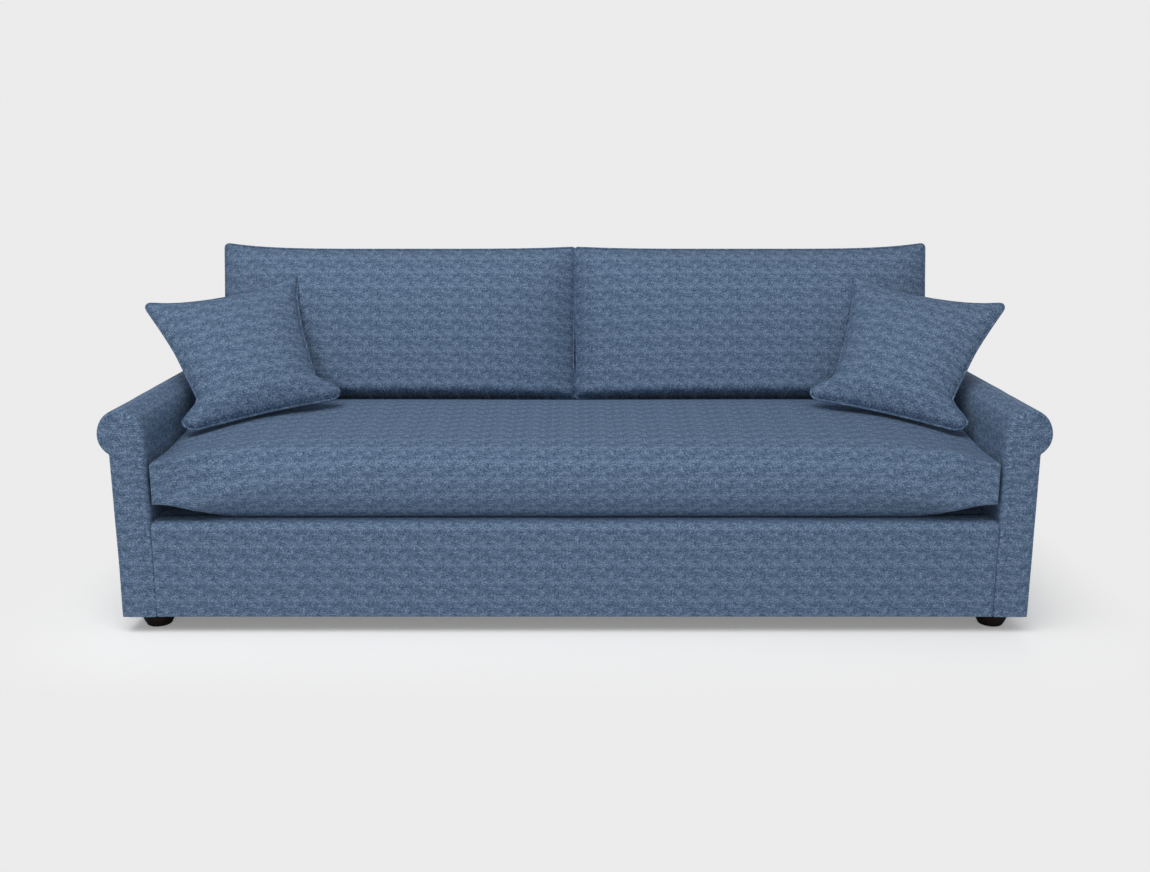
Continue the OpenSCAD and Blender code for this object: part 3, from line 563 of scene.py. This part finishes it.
def seat_deck():
    outline = box_outline((border_hi.y, deck_lo.z), (deck_hi.y, DECK), r=0.004, step=0.02)
    skin = Skin("deck_cover")
    across_skin(skin, outline, ARM_IN, RIM_SEAM, step=0.02)
    piece = skin.build(COVER)
    even_shading(piece)
    cover(piece, 0.7, "seat_deck")


# The back
BACK_RIM = 0.012            # softness of the back's upper corners
TOP_FRONT_R = 0.034         # softness of its top edge, in front and behind
TOP_REAR_R = 0.026
REAR_LAP = 0.010            # how far down the back's cover is tucked in behind the rear panel's face,
REAR_TUCK = 0.0012          # and how deep behind it
REAR_RIM = 0.003            # softness of the rear panel's edges


def back_cover():
    top = back_hi.z
    low = np.array([back_lo.y, back_lo.z])
    corner = np.array([back_lo.y + (top - back_lo.z) * math.tan(BACK_LEAN), top])
    outline = np.vstack([
        stepped([low, corner - (corner - low) * 0.1], STEP),
        fillet(low, corner, (REAR, top), TOP_FRONT_R, 9),
        stepped([(corner[0] + TOP_FRONT_R * 1.6, top), (REAR - TOP_REAR_R * 1.6, top)], STEP),
        fillet(corner, (REAR, top), (REAR, low[1]), TOP_REAR_R, 8),
        stepped([(REAR, top - TOP_REAR_R * 1.4), (REAR - REAR_TUCK, rear_hi.z)], STEP),
        [(REAR - REAR_TUCK, rear_hi.z - REAR_LAP)],
        stepped([(BACK_END, rear_hi.z - REAR_LAP), (BACK_END, back_lo.z)], 0.02),
        stepped([(BACK_END - 0.02, back_lo.z), (low[0] + 0.02, low[1])], 0.02),
    ])
    skin = Skin("back_cover")
    across_skin(skin, outline, ARM_IN, BACK_RIM, rear_share=0.2)
    piece = skin.build(COVER)
    soften(piece, amount=0.0016, size=0.25, seed=11, still=rear_hi.z)
    even_shading(piece)
    cover(piece, 0.85, "inside_back", "back_end_left", "back_end_right")


def outside_back():
    """The rear panel: a middle sheet and the two arm ends, sewn together at the arms' inner faces."""
    skin = Skin("rear_cover")
    plate(skin, np.linspace(-ARM_IN, ARM_IN, 220), np.linspace(HEM, rear_hi.z, 76))
    line = arm_outline()
    normal = outward(line)
    run = lengths(line)
    for side in (-1, 1):
        rows = [np.column_stack([side * line[:, 0], np.full(len(line), BACK_END), line[:, 1]])]
        for a in np.radians(np.linspace(0, 90, 5)):
            spot = line - normal * REAR_RIM * (1 - math.cos(a))
            depth = np.full(len(line), REAR - REAR_RIM + REAR_RIM * math.sin(a))
            rows.append(np.column_stack([side * spot[:, 0], depth, spot[:, 1]]))
        skin.grid(rows, [np.column_stack([r[:, 1], run]) for r in rows])
        fill_face(skin, rows[0])
        fill_face(skin, rows[-1])
        hem = [[row[0] + (row[-1] - row[0]) * t for t in np.linspace(0, 1, 12)] for row in rows]
        skin.grid(hem, np.asarray(hem)[:, :, :2])
    piece = skin.build(COVER)
    even_shading(piece)
    cover(piece, 0.9, "outside_back")


def plate(skin, xs, zs):
    """A thin upright panel between BACK_END and REAR, with a soft rim on its rear face."""
    gx, gz = np.meshgrid(xs, zs)
    edge = np.minimum.reduce([gx - xs[0], xs[-1] - gx, gz - zs[0], zs[-1] - gz])
    t = np.clip(edge / (3 * REAR_RIM), 0, 1)
    rear = np.stack([gx, REAR - REAR_RIM * (1 - np.sqrt(1 - (1 - t) ** 2)), gz], axis=2)
    front = np.stack([gx, np.full_like(gx, BACK_END), gz], axis=2)
    for face in (rear, front):
        skin.grid(face, face[:, :, [0, 2]])
    for pick in EDGES:
        strip = np.asarray([rear[pick], front[pick]])
        skin.grid(strip, strip[:, :, [0, 2]] + strip[:, :, [1, 1]])


CLOTH_SAG = 0.006           # how far the dust cover hangs between the rails
CLOTH_BAYS = 4
CLOTH_THICK = 0.001


def dust_cover():
    """Thin cloth under the frame, taut round its edges and sagging a little between the rails."""
    gx, gy = np.meshgrid(np.linspace(cloth_lo.x, cloth_hi.x, 150), np.linspace(cloth_lo.y, cloth_hi.y, 62))
    u = (gx - cloth_lo.x) / (cloth_hi.x - cloth_lo.x) * CLOTH_BAYS
    v = (gy - cloth_lo.y) / (cloth_hi.y - cloth_lo.y)
    sag = CLOTH_SAG * np.sin(np.pi * v) * np.abs(np.sin(np.pi * u)) ** 0.8
    skin = Skin("dust_cloth")
    faces = [np.stack([gx, gy, cloth_lo.z + rise - sag], axis=2) for rise in (0, CLOTH_THICK)]
    for face in faces:
        skin.grid(face, face[:, :, :2])
    for pick in EDGES:
        strip = np.asarray([face[pick] for face in faces])
        skin.grid(strip, strip[:, :, :2])
    piece = skin.build(DUST_CLOTH)
    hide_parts("dust_cover")
    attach(piece, "frame")


# Cushions
SEAT_HALF = seat_hi.x + 0.0035
SEAT_BOX_H = 0.120          # height of the end panels, and how far they lie above the deck
SEAT_BOX_LIFT = 0.051
SEAT_CORNER_IN = 0.008      # how far the front corners are drawn in
SEAT_TOE = 0.075            # depth over which the front rounds under
SEAT_CORNER_R = 0.008
SEAT_BROW_N = 3.4           # how square the section is: above the front, below it, and at the rear
SEAT_TOE_N = 2.2
SEAT_REAR_N = 6.0
SEAT_END_N = 16.0           # and at the end panels
CROWN_RUN = 0.300           # length over which the top rises to its crown
DROP_RUN = 0.200            # length over which the underside drops to the deck
END_SWELL = 0.022           # how much fuller the rear of the top is near the end panels,
REAR_SWELL = 0.010          # and in front of the back cushions


def quarter(centre, a, b, n, start):
    """A quarter of a superellipse from start in degrees, as its parts before and after the corner."""
    t = np.radians(np.linspace(start, start + 90, 181))
    c, s = np.cos(t), np.sin(t)
    line = np.column_stack([
        centre[0] + a * np.sign(c) * np.abs(c) ** (2 / n),
        centre[1] + b * np.sign(s) * np.abs(s) ** (2 / n)])
    return line[:91], line[90:]


def seat_section(x):
    """The seat cushion's closed (y, z) section at x: rear, top, front and underside."""
    end = SEAT_HALF - abs(x)
    drop = float(smooth(end / DROP_RUN))
    box_low = DECK + SEAT_BOX_LIFT
    box_top = box_low + SEAT_BOX_H
    top = box_top + (seat_hi.z - box_top) * float(bow(end / CROWN_RUN))
    low = box_low + (seat_lo.z - box_low) * drop
    face = seat_lo.y + SEAT_CORNER_IN * (1 - drop)
    rear = seat_hi.y
    deep = (rear - face) / 2
    mid_y, mid_z = (rear + face) / 2, (top + low) / 2
    brow = SEAT_CORNER_R + (deep - SEAT_CORNER_R) * drop
    toe = SEAT_CORNER_R + (SEAT_TOE - SEAT_CORNER_R) * drop
    up, down = top - mid_z, mid_z - low
    powers = (SEAT_BROW_N, SEAT_TOE_N, SEAT_REAR_N)
    brow_n, toe_n, rear_n = (n + (SEAT_END_N - n) * (1 - drop) ** 2 for n in powers)
    near, far = zip(
        quarter((mid_y, mid_z), deep, up, rear_n, 0),
        quarter((face + brow, mid_z), brow, up, brow_n, 90),
        quarter((face + toe, mid_z), toe, down, toe_n, 180),
        quarter((rear - toe, mid_z), toe, down, toe_n, 270))
    top_mid = [(mid_y, top)]
    low_mid = [(mid_y, low)]
    legs = [
        (near[0], 9), (np.vstack([far[0], top_mid]), 24), (np.vstack([top_mid, near[1]]), 24), (far[1], 9),
        (near[2], 7), (np.vstack([far[2], low_mid]), 22), (np.vstack([low_mid, near[3]]), 22), (far[3], 7),
    ]
    return np.vstack([spaced(leg, count + 1)[:-1] for leg, count in legs])


def top_swell(co):
    """How much higher the rear of the seat's top stands, most near the end panels."""
    end = SEAT_HALF - np.abs(co[:, 0])
    behind = co[:, 1] - seat_lo.y
    at_ends = END_SWELL * (1 - smooth((end - 0.10) / 0.35)) * smooth((behind - 0.12) / 0.30)
    at_rear = REAR_SWELL * smooth((behind - 0.25) / 0.25)
    return np.maximum(at_ends, at_rear) * smooth((co[:, 2] - DECK - 0.08) / 0.06)


def seat_cushion():
    spread = np.linspace(0, 1, 74)
    xs = SEAT_HALF * (1 - (1 - spread) ** 1.3)
    xs = np.concatenate([-xs[::-1], xs[1:]])
    rows = []
    places = []
    for x in xs:
        section = seat_section(x)
        section = np.vstack([section, section[:1]])
        rows.append(np.column_stack([np.full(len(section), x), section]))
        places.append(np.column_stack([np.full(len(section), x), lengths(section)]))
    skin = Skin("seat_cushion_cover")
    skin.grid(rows, places)
    for row, way in ((rows[0], -1), (rows[-1], 1)):
        middle = row[:-1].mean(axis=0)
        panel = []
        for t in np.linspace(0, 1, 9):
            spot = row + (middle - row) * t
            spot[:, 0] += way * 0.004 * smooth(2.2 * t)
            panel.append(spot)
        skin.grid(panel, np.asarray(panel)[:, :, 1:])
    piece = skin.build(COVER)
    co = coords(piece)
    seam = np.clip(1 - (SEAT_HALF - np.abs(co[:, 0])) / 0.02, 0, 1)
    rests = (co[:, 2] < seat_lo.z + 0.004) | (co[:, 1] > seat_hi.y - 0.004)
    inflate(piece, np.maximum(seam, rests), pressure=3.0, cap=0.022)
    co = coords(piece)
    co[:, 2] = seat_lo.z + (co[:, 2] - seat_lo.z) * (seat_hi.z - seat_lo.z) / (co[:, 2].max() - seat_lo.z)
    co[:, 2] += top_swell(co)
    set_coords(piece, co)
    crease(piece)
    subdivide(piece)
    cover(piece, 0.8, "seat_cushion", body="seat")
    return piece


def inflate(piece, held, pressure, cap, frames=20, stiffness=18.0):
    """Blows a cushion up as cloth.

    held is 1 where it is sewn or lies on something, and 0 where it is free. cap is how far a point may move.
    """
    start = coords(piece)
    group = piece.vertex_groups.new(name="held")
    for level in range(1, 11):
        chosen = np.nonzero(np.round(np.asarray(held, float) * 10) == level)[0]
        group.add([int(k) for k in chosen], level / 10, "REPLACE")
    cloth = piece.modifiers.new("cloth", "CLOTH")
    made = cloth.settings
    made.quality = 5
    made.mass = 0.3
    made.tension_stiffness = stiffness
    made.compression_stiffness = stiffness
    made.shear_stiffness = 5.0
    made.bending_stiffness = 0.5
    made.use_pressure = True
    made.uniform_pressure_force = pressure
    made.vertex_group_mass = "held"
    made.effector_weights.gravity = 0.0
    cloth.collision_settings.use_collision = False
    cloth.point_cache.frame_start = 1
    cloth.point_cache.frame_end = frames
    scene = bpy.context.scene
    for step in range(1, frames + 1):
        scene.frame_set(step)
    shown = piece.evaluated_get(bpy.context.evaluated_depsgraph_get())
    blown = np.empty(len(start) * 3)
    shown.data.vertices.foreach_get("co", blown)
    moved = blown.reshape(-1, 3) - start
    far = np.linalg.norm(moved, axis=1)
    piece.modifiers.remove(cloth)
    piece.vertex_groups.remove(group)
    set_coords(piece, start + moved * (cap * np.tanh(far / cap) / np.maximum(far, 1e-9))[:, None])
    scene.frame_set(1)
    print(f"cloth {piece.name}: mean {far.mean() * 1000:.1f} mm, most {far.max() * 1000:.1f} mm")


REST_GAP = 0.0005           # what a cushion keeps clear of the one it lies on


def rest_on(piece, support, reach):
    """Presses a cushion down on the one that it lies on, fading out at the given height above it."""
    surface = BVHTree.FromObject(support, bpy.context.evaluated_depsgraph_get())
    co = coords(piece)
    for p in co[co[:, 2] < seat_hi.z + reach]:
        hit = surface.ray_cast(Vector((p[0], p[1], back_hi.z)), Vector((0, 0, -1)))[0]
        if hit is not None and p[2] - hit.z < reach:
            above = max(0.0, p[2] - hit.z)
            p[2] = hit.z + REST_GAP + above * float(smooth(above / reach))
    set_coords(piece, co)


PIPE_R = 0.0032             # radius of the piping
EAR_HALF = 0.014            # half the thickness of the padding in the corners
EAR_POWER = 4.5             # how short the corners are that stand up
EAR_AT = 0.6                # height at which an upper corner starts to stand out
NECK = 0.54                 # depth at which the sides start to flare to the bottom corners
NECK_RUN = 0.36             # and the run over which they do
RIM_POWER = 0.62            # how blunt the cushion is at its seam
RIM_HALF = 0.0008           # half the cushion's thickness at its seam
STRAIGHT_BAND = 0.012       # half height of the band that the front is carried down from
STRAIGHT_N = 60             # how square the front's lower edge is then

# The two kinds of loose pillow
BACK_SHAPE = dict(
    sides_in=0.006, top_in=0.0, bottom_in=0.0, corners=(0.019, 0.007, 0.0, 0.0),
    flare=(0, 0, 0, 0), corner_r=0.012, full=(4, 24, 2.6), grow=0.003)
BACK_MAKING = dict(reach=0.110, step=0.013, fill=0.75, cap=0.020, pressure=2.0, straight=-0.45)
SCATTER_SHAPE = dict(
    sides_in=0.046, top_in=0.024, bottom_in=0.010, corners=(0.011, 0.024, 0.004, 0.0),
    flare=(0, 0.014, 0.002, -0.006), corner_r=0.034, full=(2.3, 5, 2.3), grow=0.004)
SCATTER_MAKING = dict(reach=0.080, step=0.009, fill=0.6, cap=0.016, pressure=2.0)


class Pillow:
    """A knife-edge cushion in its own frame: x across, y through and z up, from its centre.

    sides_in, top_in and bottom_in are how far its edges draw in between the corners. corners are how far the
    corners stand above their places: top left, top right, bottom left, bottom right.
    flare is how far they stand out sideways, in the same order.
    full is how full it is sideways, below the middle and above the middle.
    """

    def __init__(self, tail, core, node, sides_in, top_in, bottom_in, corners, flare, corner_r, full, grow):
        self.tail = tail
        self.place = core_frame(core)
        back = self.place.inverted()
        local = np.array([back @ v.co for v in frame["nodes"][node].data.vertices])
        wide, deep = np.abs(local[:, :2]).max(axis=0)
        self.half = np.array([wide + grow, deep, -local[:, 2].min()])
        self.sides_in = sides_in
        self.top_in = top_in
        self.bottom_in = bottom_in
        if tail == "right":
            corners = (corners[1], corners[0], corners[3], corners[2])
            flare = (flare[1], flare[0], flare[3], flare[2])
        self.corners = corners
        self.flare = flare
        self.corner_r = corner_r
        self.full = full

    def draw(self, v):
        """Share of the sides' draw-in at v, which ends in a neck above each bottom corner."""
        return (1 - np.maximum(v, 0) ** 2) * (1 - smooth((-v - NECK) / NECK_RUN)) * (1 - 0.45 * v)

    def outline(self, u, v):
        """Local (x, z) of a point whose u and v run from -1 to 1."""
        w, _, h = self.half
        up, down = np.maximum(v, 0), np.maximum(-v, 0)
        above, below = (np.where(u < 0, *pair) for pair in (self.flare[:2], self.flare[2:]))
        flare = above * smooth((up - EAR_AT) / (1 - EAR_AT)) + below * smooth((down - NECK) / NECK_RUN)
        x = u * (w - self.sides_in * self.draw(v) + flare)
        wide = w + np.where(v < 0, below, above)
        left, right = np.maximum(-u, 0) ** EAR_POWER, np.maximum(u, 0) ** EAR_POWER
        top = self.corners[0] * left + self.corners[1] * right
        low = self.corners[2] * left + self.corners[3] * right
        z = v * h + up * (top - self.top_in * (1 - u * u)) + down * (low + self.bottom_in * (1 - u * u))
        r = self.corner_r
        above = h + np.where(u < 0, self.corners[0], self.corners[1])
        below = h - np.where(u < 0, self.corners[2], self.corners[3])
        reach = np.where(v > 0, above, below)
        a = np.clip((np.abs(x) - (wide - r)) / r, 0, 1)
        b = np.clip((np.abs(z) - (reach - r)) / r, 0, 1)
        both = (a > 0) & (b > 0)
        round_x = np.sign(x) * (wide - r + r * a * np.sqrt(1 - b * b / 2))
        round_z = np.sign(z) * (reach - r + r * b * np.sqrt(1 - a * a / 2))
        return np.where(both, round_x, x), np.where(both, round_z, z)

    def half_depth(self, u, v):
        across, low, high = self.full
        swell = (1 - np.abs(u) ** across) * (1 - np.abs(v) ** np.where(v < 0, low, high))
        rim = np.sqrt(1 - np.maximum(np.abs(u), np.abs(v)) ** 14)
        ear = EAR_HALF * np.abs(u * v) ** 4 * rim
        return RIM_HALF + ear + (self.half[1] - RIM_HALF) * np.maximum(swell, 0) ** RIM_POWER

    def marks(self, size, step):
        """Steps from -1 to 1 that lie closer together near the seams."""
        even = np.linspace(-1, 1, int(size / step) + 1)
        return 0.55 * even + 0.45 * np.sin(even * math.pi / 2)

    def make_cover(self, name, step, cap, pressure):
        us, vs = (self.marks(2 * size, step) for size in (self.half[0], self.half[2]))
        u, v = np.meshgrid(us, vs)
        x, z = self.outline(u, v)
        depth = self.half_depth(u, v)
        skin = Skin(f"{name}_cover_{self.tail}")
        for side in (-1, 1):
            skin.grid(np.stack([x, side * depth, z], axis=2), np.stack([x, z], axis=2))
        for pick in EDGES:
            strip = np.asarray([np.column_stack([x[pick], s * depth[pick], z[pick]]) for s in (-1, 1)])
            skin.grid(strip, strip[:, :, [0, 2]])
        piece = skin.build(COVER)
        held = np.clip(1 - (np.abs(coords(piece)[:, 1]) - RIM_HALF) / 0.004, 0, 1)
        inflate(piece, held, pressure, cap)
        return piece

    def straighten(self, piece, start):
        """Carries the front face straight down to the bottom, as on a cushion that stands on a seat."""
        co = coords(piece)
        level = start * self.half[2]
        front = co[:, 1] < 0
        near = co[front & (np.abs(co[:, 2] - level) < STRAIGHT_BAND)]
        near = near[np.argsort(near[:, 0])]
        below = front & (co[:, 2] < level)
        fade = (1 - np.clip(-co[below, 2] / self.half[2], 0, 1) ** STRAIGHT_N) ** 0.5
        co[below, 1] = np.minimum(co[below, 1], np.interp(co[below, 0], near[:, 0], near[:, 1]) * fade)
        set_coords(piece, co)

    def make_piping(self, name, step=0.005, sides=10):
        t = np.linspace(-1, 1, 200, endpoint=False)
        one = np.ones_like(t)
        x, z = self.outline(np.concatenate([t, one, -t, -one]), np.concatenate([-one, t, one, -t]))
        line = np.column_stack([x, np.zeros_like(x), z])
        line = stepped(np.vstack([line, line[:1]]), step)[:-1]
        along = np.roll(line, -1, axis=0) - np.roll(line, 1, axis=0)
        along /= np.linalg.norm(along, axis=1)[:, None]
        out = np.column_stack([along[:, 2], np.zeros(len(line)), -along[:, 0]])
        centre = line + out * PIPE_R * 0.5
        turns = np.linspace(0, 2 * math.pi, sides + 1)[:, None]
        through = np.array([0, 1.0, 0])
        rows = [c + PIPE_R * (np.cos(turns) * o + np.sin(turns) * through) for c, o in zip(centre, out)]
        rows.append(rows[0])
        run = lengths(np.vstack([line, line[:1]]))
        places = [np.column_stack([np.full(sides + 1, s), turns[:, 0] * PIPE_R]) for s in run]
        skin = Skin(f"{name}_piping_{self.tail}")
        skin.grid(rows, places)
        return skin.build(COVER)

    def make(self, name, node, body, support, reach, step, fill, cap, pressure, straight=None):
        piece = self.make_cover(name, step, cap, pressure)
        if straight is not None:
            self.straighten(piece, straight)
        pipe = self.make_piping(name)
        for part in (piece, pipe):
            part.data.transform(self.place)
            rest_on(part, support, reach)
        subdivide(piece)
        cover(piece, fill, node, body=body)
        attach(pipe, body)


def core_frame(node):
    """The place of a straight foam core: its centre, and the directions of its faces."""
    mesh = frame["nodes"][node].data
    centre = sum((v.co for v in mesh.vertices), Vector()) / len(mesh.vertices)
    across = max((f.normal for f in mesh.polygons), key=lambda n: n.x).normalized()
    up = max((f.normal for f in mesh.polygons), key=lambda n: n.z).normalized()
    through = up.cross(across)
    return Matrix.Translation(centre) @ Matrix((across, through, up)).transposed().to_4x4()


def back_cushion(tail, seat):
    pillow = Pillow(tail, "back_core_" + tail, "back_cushion_" + tail, **BACK_SHAPE)
    pillow.make("back_cushion", "back_cushion_" + tail, "back_" + tail, seat, **BACK_MAKING)


def scatter_cushion(tail, seat):
    pillow = Pillow(tail, "scatter_core_" + tail, "scatter_" + tail, **SCATTER_SHAPE)
    pillow.make("scatter", "scatter_" + tail, f"scatter_{tail}_body", seat, **SCATTER_MAKING)


# Feet
def foot(node):
    """A turned bun foot: a rounded base that swells to its widest under the frame."""
    low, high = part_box(node)
    centre = (low + high) / 2
    wide = (high.x - low.x) / 2
    base = wide * 0.742
    round_r = 0.004
    rise = high.z - low.z - 0.006
    side = [
        (base + (wide - base) * math.sin(math.pi / 2 * t) ** 0.9, low.z + round_r + rise * t)
        for t in np.linspace(0, 1, 18)[1:]
    ]
    bottom = [
        (base - round_r + round_r * math.sin(a), low.z + round_r - round_r * math.cos(a))
        for a in np.linspace(0, math.pi / 2, 6)
    ]
    under = [(0.0, low.z), (base * 0.5, low.z)]
    top = [(wide * 0.99, high.z), (0, high.z)]
    profile = np.array(under + bottom + side + top)
    turns = np.linspace(0, 2 * math.pi, 65)
    rows = [
        np.column_stack([centre.x + r * np.cos(turns), centre.y + r * np.sin(turns), np.full(65, z)])
        for r, z in profile
    ]
    skin = Skin("turned_" + node)
    skin.grid(rows, [np.column_stack([turns * wide, np.full(65, s)]) for s in lengths(profile)])
    piece = skin.build(FOOT_WOOD)
    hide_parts(node)
    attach(piece, "frame")


# The floor, lights and camera
PALE = (0.835, 0.835, 0.835, 1.0)
FLOOR_GLOW = 0.21           # what the floor shows where no light reaches it
WORLD_LIGHT = 0.30
SHADOW_HALF = (1.10, 0.42, 0.0)     # half size of the floor under the sofa, where its shadow is whole
SHADOW_NEAR = 0.06                  # how far outside it the shadow starts to fade, and where it ends
SHADOW_FAR = 0.45


def stage():
    bpy.ops.mesh.primitive_plane_add(size=60)
    floor = bpy.context.object
    floor.name = "floor"
    material, tree, shader = node_tree("floor")
    shader.inputs["Base Color"].default_value = (0.90, 0.90, 0.90, 1)
    shader.inputs["Roughness"].default_value = 1.0
    shader.inputs["Specular IOR Level"].default_value = 0.0
    camera_ray = put(tree, "ShaderNodeLightPath").outputs["Is Camera Ray"]
    place = put(tree, "ShaderNodeNewGeometry").outputs["Position"]
    away = put(tree, "ShaderNodeVectorMath", {0: place}, operation="ABSOLUTE").outputs[0]
    away = put(tree, "ShaderNodeVectorMath", {0: away, 1: SHADOW_HALF}, operation="SUBTRACT").outputs[0]
    away = put(tree, "ShaderNodeVectorMath", {0: away, 1: (0.0, 0.0, 0.0)}, operation="MAXIMUM").outputs[0]
    away = put(tree, "ShaderNodeVectorMath", {0: away}, operation="LENGTH").outputs["Value"]
    fade = {"Value": away, 1: SHADOW_NEAR, 2: SHADOW_FAR, 3: 0.0, 4: 1.0}
    far = put(tree, "ShaderNodeMapRange", fade).outputs[0]
    plain = put(tree, "ShaderNodeEmission", {"Color": PALE, "Strength": 1.0}).outputs[0]
    near = put(tree, "ShaderNodeEmission", {"Color": (1, 1, 1, 1), "Strength": FLOOR_GLOW}).outputs[0]
    lit = put(tree, "ShaderNodeAddShader", {0: shader.outputs[0], 1: near}).outputs[0]
    seen = put(tree, "ShaderNodeMixShader", {0: far, 1: lit, 2: plain}).outputs[0]
    other = put(tree, "ShaderNodeBsdfDiffuse", {"Color": (0.8, 0.8, 0.8, 1)}).outputs[0]
    mixed = put(tree, "ShaderNodeMixShader", {0: camera_ray, 1: other, 2: seen}).outputs[0]
    tree.links.new(mixed, tree.nodes["Material Output"].inputs["Surface"])
    floor.data.materials.append(material)


def world():
    studio = bpy.data.worlds.new("studio")
    bpy.context.scene.world = studio
    studio.use_nodes = True
    tree = studio.node_tree
    base = tree.nodes["Background"]
    base.inputs["Color"].default_value = (1, 1, 1, 1)
    base.inputs["Strength"].default_value = WORLD_LIGHT
    seen = put(tree, "ShaderNodeBackground", {"Color": PALE, "Strength": 1.0}).outputs[0]
    path = put(tree, "ShaderNodeLightPath").outputs
    rays = {0: path["Is Camera Ray"], 1: path["Is Glossy Ray"]}
    shown = put(tree, "ShaderNodeMath", rays, operation="MAXIMUM").outputs[0]
    mixed = put(tree, "ShaderNodeMixShader", {0: shown, 1: base.outputs[0], 2: seen}).outputs[0]
    tree.links.new(mixed, tree.nodes["World Output"].inputs["Surface"])


def lamp(name, place, target, size, power):
    data = bpy.data.lights.new(name, "AREA")
    data.shape = "RECTANGLE"
    data.size, data.size_y = size
    data.energy = power
    made = bpy.data.objects.new(name, data)
    made.location = place
    made.rotation_euler = (Vector(target) - Vector(place)).to_track_quat("-Z", "Y").to_euler()
    bpy.context.scene.collection.objects.link(made)


def lights():
    lamp("front", (-0.6, -8.0, 1.4), (0, 0, 0.5), (4.0, 1.4), 120)
    lamp("top", (-1.0, -2.2, 4.6), (0, 0, 0.4), (5.0, 3.0), 145)
    lamp("rear", (1.5, 6.0, 2.0), (0, 0, 0.4), (4.0, 2.0), 90)


def camera():
    data = bpy.data.cameras.new("camera")
    data.sensor_width = SENSOR_MM
    data.lens = SENSOR_MM * FOCAL_PX / PHOTO_W
    made = bpy.data.objects.new("camera", data)
    made.location = (0, FRONT - CAM_BACK, CAM_HEIGHT)
    made.rotation_euler = (math.radians(90 - CAM_PITCH), 0, 0)
    bpy.context.scene.collection.objects.link(made)
    bpy.context.scene.camera = made


bpy.context.scene.view_settings.view_transform = "Standard"
camera()
world()
lights()
stage()
dress_frame()
arm_cover(-1)
arm_cover(1)
front_border()
seat_deck()
back_cover()
outside_back()
dust_cover()
for foot_node in ("foot_front_left", "foot_front_right", "foot_rear_left", "foot_rear_right", "foot_middle"):
    foot(foot_node)
seat_piece = seat_cushion()
for cushion_side in ("left", "right"):
    back_cushion(cushion_side, seat_piece)
    scatter_cushion(cushion_side, seat_piece)
